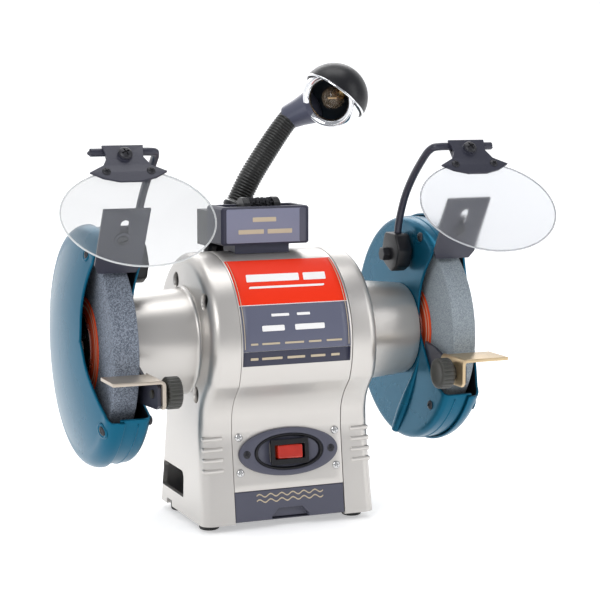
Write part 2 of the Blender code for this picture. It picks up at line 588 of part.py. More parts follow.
def eye_shield(side, name):
    """Clamp and bent arm that swing on the guard, and the bracket and lens that tilt on the arm."""
    swing = empty(f"arm_axis_{name}", (side * ARM_X, *CLAMP_PIVOT), MACHINE)
    route = [(ARM_X, -0.0100, 0.0600), (ARM_X, -0.0118, 0.0730), (ARM_X, -0.0145, 0.0860),
             (ARM_X, -0.0240, 0.1050), (ARM_X, -0.0380, 0.1215), (ARM_X + 0.0003, -0.0555, 0.1370),
             (ARM_X + 0.0015, -0.0650, 0.1440), (ARM_X + 0.0060, *SHIELD_PIVOT),
             (0.1345, *SHIELD_PIVOT), (0.1570, *SHIELD_PIVOT)]
    route = [(side * x, y, z) for x, y, z in route]
    finish(tube(smooth(route, 3), 0.0029), f"shield_arm_{name}", "slate_steel", swing)
    clamp = [(-0.0210, 0.0780), (-0.0290, 0.0640), (-0.0235, 0.0500), (-0.0120, 0.0450),
             (0.0040, 0.0520), (0.0080, 0.0610), (0.0010, 0.0790)]
    block = finish(prism(clamp, "X", *sorted((side * 0.1000, side * 0.1135))),
                   f"shield_clamp_{name}", "slate_steel", swing)
    join(block, cylinder((side * 0.0960, *CLAMP_PIVOT), (side * 0.1010, *CLAMP_PIVOT), 0.0058, 6),
         cylinder((side * 0.1130, *CLAMP_PIVOT), (side * 0.1160, *CLAMP_PIVOT), 0.0070, 16))
    channel = [(side * ARM_X, -0.0095, 0.0560), *[p for p in route[1:4]]]
    cut(block, tube(smooth(channel, 3), 0.0033))

    tilt = empty(f"shield_axis_{name}", (side * 0.1345, *SHIELD_PIVOT), swing)
    frame = shield_frame(side)
    plate = [(-0.0150, -0.0025), (0.0150, -0.0025), (0.0132, 0.0080), (0.0170, 0.0150),
             (0.0280, 0.0210), (0.0190, 0.0262), (0.0080, 0.0292), (-0.0080, 0.0292),
             (-0.0190, 0.0262), (-0.0280, 0.0210), (-0.0170, 0.0150), (-0.0132, 0.0080)]
    bracket = finish(leaned(prism(plate, "Z", 0.0033, 0.0049), frame), f"shield_bracket_{name}",
                     "slate_steel", tilt)
    join(bracket,
         leaned(box((-0.0110, 0.0034, -0.0049), (0.0110, 0.0100, 0.0040)), frame),
         leaned(box((-0.0110, -0.0025, -0.0049), (0.0110, 0.0045, -0.0033)), frame),
         leaned(cylinder((0, 0.0064, 0.0040), (0, 0.0064, 0.0070), 0.0052, 16), frame))
    lens = [(0.055 * math.cos(a), 0.058 + 0.041 * math.sin(a)) for a in
            (2 * math.pi * i / 32 for i in range(32))]
    finish(leaned(prism(lens, "Z", 0.0006, 0.0030), frame), f"shield_lens_{name}",
           "clear_plastic", tilt)


# ---------------------------------------------------------------- dressing tool
def dressing_tool():
    """The open holder on top of the body, and the wheel dresser that lifts out of it."""
    holder = finish(box((-0.0417, -0.0180, 0.0722), (0.0295, 0.0160, 0.1010)), "tool_holder",
                    "slate_plastic")
    edge = holder.modifiers.new("Bevel", "BEVEL")
    edge.width = 0.0015
    edge.segments = 1
    join(holder, box((-0.0295, -0.0135, 0.0560), (0.0145, 0.0120, 0.0740)))
    cut(holder, box((-0.0360, -0.0120, 0.0760), (0.0240, 0.0100, 0.11)),
        cylinder((-0.06, 0, 0), (0.06, 0, 0), BODY_RADIUS + GAP, 64))

    lift = empty("dresser_axis", (STAR_X, STAR_Y, 0.0763), MACHINE)
    dresser = finish(box((-0.0330, -0.0080, 0.0763), (0.0210, 0.0060, 0.0868)), "dresser_frame",
                     "black_plastic", lift)
    for inner, outer in ((-0.0205, -0.0150), (0.0040, 0.0095)):
        join(dresser, box((inner, -0.0080, 0.0830), (outer, 0.0060, 0.0960)),
             cylinder((inner, STAR_Y, STAR_Z), (outer, STAR_Y, STAR_Z), 0.0098, 20))
    join(dresser, cylinder((-0.018, STAR_Y, STAR_Z), (0.007, STAR_Y, STAR_Z), 0.0020, 12))
    spin = empty("star_axis", (STAR_X, STAR_Y, STAR_Z), lift)
    teeth = 12
    star = [point for i in range(teeth) for point in
            (arc((STAR_Y, STAR_Z), 0.0096, 360 * i / teeth, 360 * i / teeth, 1)[0],
             arc((STAR_Y, STAR_Z), 0.0072, 360 * (i + 0.5) / teeth, 360 * (i + 0.5) / teeth, 1)[0])]
    wheels = finish(prism(star, "X", -0.0146, 0.0036), "dresser_wheels", "bright_steel", spin)
    cut(wheels, cylinder((-0.02, STAR_Y, STAR_Z), (0.01, STAR_Y, STAR_Z), 0.0024, 12))


# ---------------------------------------------------------------- lamp
def ball_joint(parent_part, centre, radius):
    """Hollow the end of a neck piece so that the next piece's round end turns in it."""
    cut(parent_part, ball(centre, radius + GAP, 8))


def lamp():
    """Socket block on the body, a tapered flexible neck in two lengths, and the head with its hood."""
    block = finish(box((-0.0370, 0.0260, 0.0680), (0.0040, 0.0510, 0.0955)), "lamp_socket",
                   "black_plastic")
    drop = math.sin(BEND_LIMIT) * 0.0093 + 0.0018
    join(block, box((-0.0300, 0.0163, 0.0760), (0.0000, 0.0270, 0.0920)),
         cylinder((-0.0310, 0.0400, 0.0450), (-0.0250, 0.0385, 0.0720), 0.0085, 16),
         cylinder(LAMP_ROOT - NECK_LENGTHWISE * 0.022, LAMP_ROOT - NECK_LENGTHWISE * drop, 0.0098))
    cut(block, cylinder((-0.06, 0, 0), (0.06, 0, 0), BODY_RADIUS + GAP, 64))
    ball_joint(block, LAMP_ROOT, 0.0099)

    root = empty("neck_root_axis", LAMP_ROOT, MACHINE)
    route = smooth([LAMP_ROOT, LAMP_ROOT + NECK_LENGTHWISE * 0.021, LAMP_ELBOW,
                    (0.0283, 0.0395, 0.1560), LAMP_WRIST], 6)
    split = 12
    radii = [0.0093 - 0.0010 * (i / (len(route) - 1)) ** 2 for i in range(len(route))]

    def neck_piece(points, sizes, name, body, end_drop):
        """One length of the neck: round at its start, hollowed at its end for the next piece."""
        last = (points[-1] - points[-2]).normalized()
        end = points[-1] - last * end_drop
        kept = [i for i, point in enumerate(points) if (point - end).dot(last) < -0.001]
        line = [points[i] for i in kept] + [end]
        part = finish(tube(line, [sizes[i] for i in kept] + [sizes[-1]], 3), name,
                      "black_rubber", body)
        join(part, ball(points[0], sizes[0] * 0.985, 8))
        return part

    middle_radius, end_radius = radii[split], radii[-1]
    lower = neck_piece(route[:split + 1], radii[:split + 1], "lamp_neck_lower", root,
                       math.sin(BEND_LIMIT) * middle_radius + 0.0008)
    ball_joint(lower, LAMP_ELBOW, middle_radius)
    elbow = empty("neck_elbow_axis", LAMP_ELBOW, root)
    upper = neck_piece(route[split:], radii[split:], "lamp_neck_upper", elbow,
                       end_radius * 0.94)
    ball_joint(upper, LAMP_WRIST, end_radius)

    wrist = empty("lamp_head_axis", LAMP_WRIST, elbow)
    toward_neck = (LAMP_WRIST - HEAD_CENTRE).normalized()
    head = finish(ball(HEAD_CENTRE, HEAD_RADIUS, 10), "lamp_head", "chrome", wrist)
    join(head, cone(LAMP_WRIST - toward_neck * 0.0050, HEAD_CENTRE + toward_neck * 0.0200, 0.0083,
                    0.0125),
         ball(LAMP_WRIST, end_radius * 0.985, 8))
    window = HEAD_CENTRE + HEAD_AIM * 0.0130
    cut(head, ball(HEAD_CENTRE, HEAD_RADIUS - 0.0022, 8),
        cylinder(window, window + HEAD_AIM * 0.02, 0.030, 24))
    back = -(HEAD_RADIUS - 0.0022 - 0.0006)
    bulb = [(0, 0.0115), (0.0052, 0.0098), (0.0084, 0.0058), (0.0092, 0.0020), (0.0080, -0.0030),
            (0.0058, -0.0078), (0.0052, -0.0100), (0.0052, back + 0.0022), (0, back + 0.0006)]
    finish(turned(bulb, HEAD_CENTRE, HEAD_AIM, 16), "lamp_bulb", "bulb_glass", wrist)

    hood_body = empty("lamp_hood_axis", HEAD_CENTRE, wrist)
    outer, inner = HEAD_RADIUS + 0.0022, HEAD_RADIUS + 0.0005
    dome = [(0, outer), *reversed(arc((0, 0), outer, 3, 75, 5)),
            *arc((0, 0), inner, 3, 75, 5), (0, inner)]
    finish(turned(dome, HEAD_CENTRE, HOOD_UP, 24), "lamp_hood", "black_plastic", hood_body)


# ---------------------------------------------------------------- build
motor_shell()
for cap_side, cap_name in ((-1, "left"), (1, "right")):
    end_cap(cap_side, f"end_cap_{cap_name}")
    guard(cap_side, cap_name)
    eye_shield(cap_side, cap_name)
tool_rest(-1, "left", "plain_zinc")
tool_rest(1, "right", "yellow_zinc")
body_inside()
switch()
tray()
rotor()
dressing_tool()
lamp()
bpy.context.view_layer.update()
print("objects:", len([thing for thing in PARTS.objects if thing.type == "MESH"]))
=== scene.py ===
# %% [markdown]
# # A bench grinder, dressed in Blender
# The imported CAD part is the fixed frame: it says where every piece is and how it moves.
# This lesson puts the finished surfaces round it. Each visible piece is a surface worked out
# with numpy from a few of the machine's own sizes, and each finish is a node material.
# Sizes are metres, and places are measured from the middle of the shaft.
# %% Load the frame
import math

import bmesh
import bpy
import numpy as np
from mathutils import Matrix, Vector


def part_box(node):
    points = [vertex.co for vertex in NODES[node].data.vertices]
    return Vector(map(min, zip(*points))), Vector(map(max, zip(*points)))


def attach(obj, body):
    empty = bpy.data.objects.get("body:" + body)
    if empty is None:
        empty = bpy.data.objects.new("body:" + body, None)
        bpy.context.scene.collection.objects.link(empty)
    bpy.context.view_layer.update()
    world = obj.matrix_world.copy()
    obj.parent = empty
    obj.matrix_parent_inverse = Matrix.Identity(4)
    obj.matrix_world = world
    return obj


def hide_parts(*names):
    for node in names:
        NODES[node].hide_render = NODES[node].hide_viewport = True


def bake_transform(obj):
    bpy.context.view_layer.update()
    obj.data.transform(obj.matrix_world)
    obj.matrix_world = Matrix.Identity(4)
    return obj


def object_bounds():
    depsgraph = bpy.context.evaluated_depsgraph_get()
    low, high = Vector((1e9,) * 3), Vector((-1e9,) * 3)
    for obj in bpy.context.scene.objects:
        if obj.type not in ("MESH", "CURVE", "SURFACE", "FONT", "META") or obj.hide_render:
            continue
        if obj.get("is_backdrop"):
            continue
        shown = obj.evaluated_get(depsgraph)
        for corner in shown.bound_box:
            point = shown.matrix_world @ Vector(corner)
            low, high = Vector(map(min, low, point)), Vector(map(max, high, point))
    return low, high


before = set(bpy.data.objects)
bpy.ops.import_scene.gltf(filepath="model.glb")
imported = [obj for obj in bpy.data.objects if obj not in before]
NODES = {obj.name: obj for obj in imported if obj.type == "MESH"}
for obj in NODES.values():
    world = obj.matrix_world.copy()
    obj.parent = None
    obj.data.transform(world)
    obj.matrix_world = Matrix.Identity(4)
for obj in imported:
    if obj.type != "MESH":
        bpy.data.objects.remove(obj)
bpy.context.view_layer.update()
shaft_low, shaft_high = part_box("rotor_shaft")
SHAFT = np.array((shaft_low + shaft_high) / 2)
SIDES = ((-1, "left"), (1, "right"))

# %% [markdown]
# ## Camera, floor and light
# The machine is looked at from a little left of its front and slightly above, through a long
# lens. A pale sheet curves up behind it, so no horizon shows, and large soft boxes give the
# broad highlights that show off enamel and chrome. Dark strips are left between the boxes,
# because metal only looks like metal when it has something dark to reflect as well.
# %% Camera
EYE = (-0.49430, -1.23357, 0.33779)
YAW, PITCH, LENS, SENSOR = 22.613, 7.229, 106.07, 36
camera = bpy.data.objects.new("camera", bpy.data.cameras.new("camera"))
bpy.context.scene.collection.objects.link(camera)
camera.location = EYE
camera.rotation_euler = (math.radians(90 - PITCH), 0, math.radians(-YAW))
camera.data.lens, camera.data.sensor_width = LENS, SENSOR
bpy.context.scene.camera = camera
bpy.context.scene.view_settings.view_transform = "Standard"
print("camera at", EYE)

# %% [markdown]
# ### Light
# Enamel and chrome mirror the lamps. The key stands to the left, a weaker fill to the right,
# and two more lift the top and the back. Round or small lamps would light it as well, but
# large rectangles give the long straight highlights of a studio.
# %% Light
def area_light(name, place, target_height, size, power):
    """A rectangular soft box, (width, height) in metres, facing a point above the origin."""
    data = bpy.data.lights.new(name, "AREA")
    data.shape = "RECTANGLE"
    data.size, data.size_y = size
    data.energy = power
    lamp = bpy.data.objects.new(name, data)
    bpy.context.scene.collection.objects.link(lamp)
    lamp.location = place
    toward = Vector((0, 0, target_height)) - Vector(place)
    lamp.rotation_euler = toward.to_track_quat("-Z", "Y").to_euler()


area_light("key", (-1.3, -1.5, 1.5), 0.15, (1.1, 1.1), 21)
area_light("fill", (1.6, -1.3, 0.9), 0.15, (0.8, 1.6), 8)
area_light("top", (0.1, 0.2, 1.9), 0.15, (1.4, 0.9), 11)
area_light("back", (0.4, 1.6, 1.2), 0.2, (1.6, 0.8), 7)
world = bpy.data.worlds.new("studio")
bpy.context.scene.world = world
world.use_nodes = True
sky = world.node_tree.nodes["Background"]
sky.inputs["Color"].default_value = (0.93, 0.95, 1.0, 1)
sky.inputs["Strength"].default_value = 0.42
print("lights placed")


# %% [markdown]
# ## Tools for surfaces
# Most of the machine is turned, bent or pressed metal. So three kinds of surface cover nearly
# all of it: a profile turned about an axis, a ring of points carried along a path, and an
# outline given a thickness and rounded edges. They are computed as whole arrays.
# %% Meshes from arrays
SHARP = 38  # degrees between faces, above which an edge is drawn sharp
FORWARD, UPWARD = (0, 1, 0), (0, 0, 1)
PLAN = ((0, 0, 0), (1, 0, 0), FORWARD, UPWARD)  # outline in x and y, thick along z
ELEVATION = ((0, 0, 0), (1, 0, 0), UPWARD, FORWARD)  # outline in x and z, thick along y
PROFILE = ((0, 0, 0), FORWARD, UPWARD, (1, 0, 0))  # outline in y and z, thick along x


def put(name, points, faces, material, body="machine", slot=None, inside=(0, 0, 0),
        sharp=SHARP, replaces=()):
    """An object from points round the shaft centre, riding on a body.

    Doubles are merged. Faces are then turned so that the sum of area x (normal . (face
    centre - inside point)) is positive, which means that they look outwards.
    """
    points = np.asarray(points, float).reshape(-1, 3)
    mesh = bpy.data.meshes.new(name)
    mesh.from_pydata((points + SHAFT).tolist(), [], faces)
    tool = bmesh.new()
    tool.from_mesh(mesh)
    bmesh.ops.remove_doubles(tool, verts=tool.verts, dist=2e-6)
    bmesh.ops.dissolve_degenerate(tool, edges=tool.edges, dist=1e-6)
    bmesh.ops.recalc_face_normals(tool, faces=tool.faces)
    middle = Vector(np.asarray(inside, float) + SHAFT)
    flow = sum(f.calc_area() * f.normal.dot(f.calc_center_median() - middle) for f in tool.faces)
    if flow < 0:
        bmesh.ops.reverse_faces(tool, faces=tool.faces)
    tool.to_mesh(mesh)
    tool.free()
    mesh.shade_smooth()
    mesh.set_sharp_from_angle(angle=math.radians(sharp))
    mesh.materials.append(material)
    piece = bpy.data.objects.new(name, mesh)
    bpy.context.scene.collection.objects.link(piece)
    if body:
        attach(piece, body)
    if replaces:
        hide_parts(*replaces)
    return piece


print("mesh maker ready")

# %% [markdown]
# ### Grids and directions
# A surface is a table of points, and its faces join each point to its neighbours. Whole
# columns are worked out at once, which is short to write and fast to run.


# %% Grids and directions
def grid(x, y, z):
    """One array of points from coordinates that vary along rows, along columns or along both."""
    return np.stack(np.broadcast_arrays(x, y, z), -1)


def grid_faces(rows, columns, wrap_rows=False, wrap_columns=False):
    """Quads of a grid whose point (i, j) is number i x columns + j, closed round if asked."""
    i = np.arange(rows if wrap_rows else rows - 1)[:, None]
    j = np.arange(columns if wrap_columns else columns - 1)[None, :]
    down, right = (i + 1) % rows, (j + 1) % columns
    corners = [i * columns + j, i * columns + right, down * columns + right, down * columns + j]
    return np.stack(corners, -1).reshape(-1, 4).tolist()


def unit(vector):
    """A vector, or each row of an array, divided by its length."""
    vector = np.asarray(vector, float)
    return vector / np.linalg.norm(vector, axis=-1, keepdims=True)


def across(axis):
    """Two unit vectors square to an axis and to each other."""
    axis = unit(axis)
    helper = np.array(UPWARD if abs(axis[2]) < 0.9 else FORWARD, float)
    first = unit(np.cross(helper, axis))
    return first, np.cross(axis, first)


def around(count):
    """Evenly spaced angles of one whole turn."""
    return np.arange(count) * 2 * np.pi / count


def at(place, x, y, z):
    """A point given in a frame (origin, x axis, y axis, z axis)."""
    origin, a, b, c = (np.asarray(v, float) for v in place)
    return origin + x * a + y * b + z * c


print("grid and direction helpers ready")

# %% [markdown]
# ### Lines and outlines
# Real edges are never quite sharp, and a bent bar has no corners. So routes run smoothly
# through a few points, and outlines have their corners rounded before they become solid.


# %% Lines and outlines
def curve(points, per_span):
    """Catmull-Rom: between b and c, 0.5 (2b + (c-a)t + (2a-5b+4c-d)t^2 + (3b-a-3c+d)t^3)."""
    p = np.asarray(points, float)
    p = np.vstack([2 * p[0] - p[1], p, 2 * p[-1] - p[-2]])
    t = (np.arange(per_span) / per_span)[None, :, None]
    a, b, c, d = (p[k:len(p) - 3 + k][:, None, :] for k in range(4))
    spans = 0.5 * (2 * b + (c - a) * t + (2 * a - 5 * b + 4 * c - d) * t ** 2
                   + (3 * b - a - 3 * c + d) * t ** 3)
    return np.vstack([spans.reshape(-1, p.shape[1]), p[-2:-1]])


def rounded(points, radius, steps=5):
    """Each corner P becomes the curve (1-t)^2 A + 2t(1-t) P + t^2 B, A and B a radius away."""
    p = np.asarray(points, float)
    before, after = np.roll(p, 1, 0) - p, np.roll(p, -1, 0) - p
    long_a, long_b = (np.linalg.norm(v, axis=1, keepdims=True) for v in (before, after))
    reach = np.minimum(radius, 0.48 * np.minimum(long_a, long_b))
    a, b = p + before / long_a * reach, p + after / long_b * reach
    t = np.linspace(0, 1, steps + 1)[None, :, None]
    bent = (1 - t) ** 2 * a[:, None] + 2 * t * (1 - t) * p[:, None] + t ** 2 * b[:, None]
    return bent.reshape(-1, p.shape[1])


def rectangle(x0, x1, y0, y1):
    """The four corners of a rectangle."""
    return [(x0, y0), (x1, y0), (x1, y1), (x0, y1)]


def oval(half_x, half_y, power=2.0, count=72, centre=(0, 0)):
    """Superellipse |x/a|^n + |y/b|^n = 1; n = 2 is an ellipse, more is squarer."""
    c, s = np.cos(around(count)), np.sin(around(count))
    return np.stack([centre[0] + half_x * np.sign(c) * np.abs(c) ** (2 / power),
                     centre[1] + half_y * np.sign(s) * np.abs(s) ** (2 / power)], -1)


print("line helpers ready")

# %% [markdown]
# ### Turned shapes
# Wheels, washers, knobs, screws and the lamp are round pieces, as if made on a lathe. Their
# surface is a profile that goes round an axis. Blender's Screw modifier could do it too, but
# here the ends close by themselves and a ripple can cut flats or grip ribs.


# %% Turned shapes
def turned(name, profile, centre, axis, material, steps=96, ripple=None, **more):
    """centre + height x axis + radius (cos a x first + sin a x second).

    A profile of (radius, height) that never touches the axis is closed into a ring. Ripple
    scales the radius by angle.
    """
    axis, angle = unit(axis), around(steps)
    first, second = across(axis)
    circle = np.cos(angle)[:, None] * first + np.sin(angle)[:, None] * second
    radius, height = np.asarray(profile, float).T
    scale = ripple(angle, radius, height) if ripple else np.ones((len(radius), steps))
    points = (np.asarray(centre) + height[:, None, None] * axis
              + (radius[:, None] * scale)[:, :, None] * circle)
    ring = bool(np.min(np.abs(radius)) > 1e-9)
    more.setdefault("inside", np.asarray(centre) + np.mean([h for _, h in profile]) * axis)
    return put(name, points, grid_faces(len(profile), steps, ring, True), material, **more)


print("lathe ready")

# %% [markdown]
# ### Swept shapes
# A bent rod or a hose is a circle carried along its route. A curve object with a bevel would
# do for a plain rod, but not for the neck, whose radius changes at every ring.


# %% Swept shapes
def swept(name, path, radius, material, sides=20, reference=FORWARD, **more):
    """Circles square to a path, with the two ends drawn in to a point over a small rounding.

    The first direction of each circle is along x reference, the second is along x first.
    """
    path = np.asarray(path, float)
    radius = np.array(np.broadcast_to(radius, len(path)), float)
    path = np.vstack([path[:1], path[:1], path, path[-1:], path[-1:]])
    radius = np.concatenate([[0, radius[0] * 0.8], radius, [radius[-1] * 0.8, 0]])
    apart = np.linspace(0, 1, len(path))[:, None] * 1e-7  # keeps the doubled ends in order
    path = path + apart * unit(path[-3] - path[2])
    along = unit(np.gradient(path, axis=0))
    first = unit(np.cross(along, reference))
    second = np.cross(along, first)
    angle = around(sides)
    circle = (np.cos(angle)[None, :, None] * first[:, None]
              + np.sin(angle)[None, :, None] * second[:, None])
    rings = path[:, None] + radius[:, None, None] * circle
    more.setdefault("inside", path[2:-2].mean(0))
    return put(name, rings, grid_faces(len(path), sides, False, True), material, **more)


print("sweep ready")

# %% [markdown]
# ### Plates
# Sheet and moulded pieces are outlines with a thickness. Their edges are rounded in the mesh,
# because a broken edge is what catches the light.


# %% Plates
def slab_mesh(outline, place, low, high, edge=0.0004, steps=3):
    """Points and faces of an outline made thick between two heights, with rounded edges.

    Loops are drawn in by edge (1 - sin a) at heights edge (1 - cos a) from each face.
    """
    low, high = sorted((low, high))
    flat = np.asarray(outline, float)
    ahead, behind = unit(np.roll(flat, -1, 0) - flat), unit(flat - np.roll(flat, 1, 0))
    turn = 1.0 if np.sum(flat[:, 0] * np.roll(flat[:, 1], -1)
                         - flat[:, 1] * np.roll(flat[:, 0], -1)) > 0 else -1.0
    normal = turn * np.stack([ahead[:, 1] + behind[:, 1], -ahead[:, 0] - behind[:, 0]], -1)
    normal = normal / np.maximum(np.sum(normal ** 2, 1, keepdims=True) / 2, 0.3)
    a = np.linspace(0, np.pi / 2, steps + 1)
    draw = np.concatenate([edge * (1 - np.sin(a)), edge * (1 - np.sin(a))[::-1]])
    level = np.concatenate([low + edge * (1 - np.cos(a)), high - edge * (1 - np.cos(a))[::-1]])
    loops = flat[None] - draw[:, None, None] * normal[None]
    points = at(place, loops[..., :1], loops[..., 1:], level[:, None, None])
    count, size = len(draw), len(flat)
    faces = grid_faces(count, size, False, True)
    faces += [list(range(size)), list(range((count - 1) * size, count * size))]
    return points.reshape(-1, 3), faces


def slab(name, outline, place, low, high, material, edge=0.0004, **more):
    """A plate: an outline in the frame (origin, x, y, z), thick from low to high along z."""
    points, faces = slab_mesh(outline, place, low, high, edge)
    return put(name, points, faces, material, **{"inside": points.mean(0), **more})


print("plates ready")

# %% [markdown]
# ### Walls and cuts
# Pressed and cast pieces are thin walls. Solidify gives a surface its wall, a bevel breaks the
# edges, and an exact boolean cuts each hole for good, so the finished mesh is plain.


# %% Walls and cuts
def modify(piece, kind, **settings):
    """Add a modifier with its settings."""
    step = piece.modifiers.new(kind.title(), kind)
    for key, value in settings.items():
        setattr(step, key, value)


def break_edges(piece, width, degrees, segments=2):
    """A small bevel on the edges that turn by more than an angle."""
    modify(piece, "BEVEL", width=width, segments=segments, limit_method="ANGLE",
           angle_limit=math.radians(degrees))


def thick(piece, depth, edge=0.0):
    """Give a surface a wall on its inner side, and break the wall's sharp edges."""
    modify(piece, "SOLIDIFY", thickness=depth, offset=-1, use_even_offset=True)
    if edge:
        break_edges(piece, edge, 50)


def carve(piece, *cutters):
    """Cut shapes out of a piece, for good, after its other modifiers."""
    for shape in cutters:
        modify(piece, "BOOLEAN", operation="DIFFERENCE", solver="EXACT", object=shape)
    bpy.context.view_layer.update()
    done = piece.evaluated_get(bpy.context.evaluated_depsgraph_get())
    mesh = bpy.data.meshes.new_from_object(done)
    piece.modifiers.clear()
    piece.data = mesh
    mesh.shade_smooth()
    mesh.set_sharp_from_angle(angle=math.radians(SHARP))
    for shape in cutters:
        bpy.data.objects.remove(shape, do_unlink=True)


print("surface tools ready")

# %% [markdown]
# ## Finishes
# Each finish is a Principled shader with a little of what the real surface has: cloudy
# variation of colour and roughness, and a fine bump. All patterns read Object coordinates, so
# they stay put when a piece moves with its body.


# %% Finish tools
def finish(name, slot, colour, rough, metal=0.0, mottle=(30, 0.05), grain=(900, 0.03),
           stretch=(1, 1, 1), rough_range=0.06, **sockets):
    """A material: colour x (1 + noise), roughness + noise, bump from a finer noise."""
    material = bpy.data.materials.new(name)
    material.use_nodes = True
    tree = material.node_tree
    shader = tree.nodes["Principled BSDF"]
    shader.inputs["Metallic"].default_value = metal
    for key, value in sockets.items():
        shader.inputs[key.replace("_", " ")].default_value = value

    def node(kind, source, **values):
        """A node of a kind, its first socket fed by a source, its other sockets set."""
        made = tree.nodes.new(f"ShaderNode{kind}")
        for key, value in values.items():
            made.inputs[key.replace("_", " ")].default_value = value
        if source:
            tree.links.new(source[0], made.inputs[source[1]])
        return made

    place = node("TexCoord", None)
    mapping = node("Mapping", (place.outputs["Object"], "Vector"), Scale=stretch)
    where = (mapping.outputs["Vector"], "Vector")
    cloud = node("TexNoise", where, Scale=mottle[0], Detail=4)
    mix = tree.nodes.new("ShaderNodeMix")
    mix.data_type = "RGBA"
    mix.inputs["A"].default_value = (*[c * (1 - mottle[1]) for c in colour], 1)
    mix.inputs["B"].default_value = (*[min(1, c * (1 + mottle[1])) for c in colour], 1)
    tree.links.new(cloud.outputs["Fac"], mix.inputs["Factor"])
    tree.links.new(mix.outputs["Result"], shader.inputs["Base Color"])
    spread = node("MapRange", (cloud.outputs["Fac"], "Value"),
                  To_Min=max(0.0, rough - rough_range), To_Max=min(1.0, rough + rough_range))
    tree.links.new(spread.outputs["Result"], shader.inputs["Roughness"])
    fine = node("TexNoise", where, Scale=grain[0], Detail=3)
    bump = node("Bump", (fine.outputs["Fac"], "Height"), Strength=grain[1], Distance=0.001)
    tree.links.new(bump.outputs["Normal"], shader.inputs["Normal"])
    return material


def parts_of(material):
    tree = material.node_tree
    first = {node.bl_idname[len("ShaderNode"):]: node for node in reversed(tree.nodes[:])}
    return tree, tree.nodes["Principled BSDF"], first


print("finish tools ready")

# %% [markdown]
# ### Enamels and plastics
# The body is warm silver enamel with metal flake, the guards are a deep gloss teal, and the
# fittings are slate.
# %% Enamels and plastics
SILVER = finish("silver_enamel", "silver_paint", (0.610, 0.585, 0.555), 0.33, 0.72, (22, 0.03),
                (2600, 0.06), Coat_Weight=0.08, Coat_Roughness=0.15)
TEAL = finish("teal_enamel", "teal_paint", (0.004, 0.098, 0.172), 0.28, 0.55, (14, 0.10),
              (160, 0.02), Specular_IOR_Level=0.12, Coat_Weight=0.04, Coat_Roughness=0.05)
# near-black teal: painted shade for the inside of the guards and for the lamp's reflector
INSIDE_SHADE = finish("painted_inside_shade", "teal_paint", (0.004, 0.010, 0.018), 0.55, 0.0, (20, 0.1),
               (400, 0.1))
SLATE = finish("slate_plastic", "slate_plastic", (0.072, 0.074, 0.105), 0.42, 0.0, (40, 0.05),
               (1800, 0.12))
HOLDER = finish("holder_plastic", "slate_plastic", (0.036, 0.037, 0.060), 0.44, 0.0, (40, 0.06),
                (1800, 0.10), Specular_IOR_Level=0.3)
SLATE_LIGHT = finish("slate_panel", "slate_plastic", (0.190, 0.198, 0.280), 0.38, 0.0,
                     (40, 0.04), (1500, 0.10))
BLACK = finish("black_plastic", "black_plastic", (0.007, 0.007, 0.009), 0.34, 0.0, (50, 0.08),
               (1500, 0.08), Specular_IOR_Level=0.35)
KNOB = finish("knob_plastic", "black_plastic", (0.036, 0.036, 0.031), 0.42, 0.0, (50, 0.08),
              (1500, 0.10))
# a faint red glow on the switch is painted light that brightens it
RED = finish("red_plastic", "red_plastic", (0.36, 0.013, 0.006), 0.22, 0.0, (140, 0.25),
             (700, 0.04), Coat_Weight=0.4, Emission_Color=(1.0, 0.06, 0.01, 1),
             Emission_Strength=0.07)
RUBBER = finish("black_rubber", "black_rubber", (0.020, 0.020, 0.021), 0.62, 0.0, (80, 0.12),
                (900, 0.15))
HOSE = finish("neck_skin", "black_rubber", (0.016, 0.016, 0.015), 0.30, 0.0, (70, 0.10),
              (1200, 0.10))
COLLAR = finish("collar_grey", "chrome", (0.085, 0.090, 0.130), 0.34, 0.15, (60, 0.05),
                (1200, 0.06))
print("enamels and plastics made")

# %% [markdown]
# ### Metals
# A metal is mostly what it reflects, so its roughness does the work and its colour only tints.
# The streaks of zinc plate are noise stretched along one axis.
# %% Metals
SLATE_STEEL = finish("slate_steel", "slate_steel", (0.026, 0.027, 0.044), 0.40, 0.20, (60, 0.08),
                     (700, 0.10), Coat_Weight=0.2, Coat_Roughness=0.2)
STEEL = finish("bright_steel", "bright_steel", (0.58, 0.58, 0.58), 0.26, 1.0, (120, 0.06),
               (1500, 0.05))
DARK_STEEL = finish("dark_steel", "bright_steel", (0.030, 0.030, 0.035), 0.38, 0.5, (120, 0.15),
                    (1500, 0.10))
LAMINATED = finish("laminations", "laminated_steel", (0.30, 0.31, 0.33), 0.45, 0.9, (60, 0.10),
                   (260, 0.4), (12, 1, 1))
CAN = finish("capacitor_can", "capacitor_can", (0.62, 0.62, 0.64), 0.30, 0.9, (40, 0.05),
             (800, 0.05))
ZINC = finish("plain_zinc", "plain_zinc", (0.50, 0.440, 0.370), 0.34, 0.85, (90, 0.10),
              (900, 0.10), (1, 8, 8))
YELLOW_ZINC = finish("yellow_zinc", "yellow_zinc", (0.60, 0.46, 0.28), 0.30, 0.85, (60, 0.14),
                     (900, 0.10), (1, 8, 8))
CHROME = finish("chrome", "chrome", (0.80, 0.81, 0.83), 0.07, 1.0, (40, 0.02), (800, 0.01),
                rough_range=0.02)
BRASS = finish("bulb_brass", "bulb_glass", (0.62, 0.42, 0.18), 0.28, 1.0, (120, 0.08),
               (900, 0.06))
print("metals made")

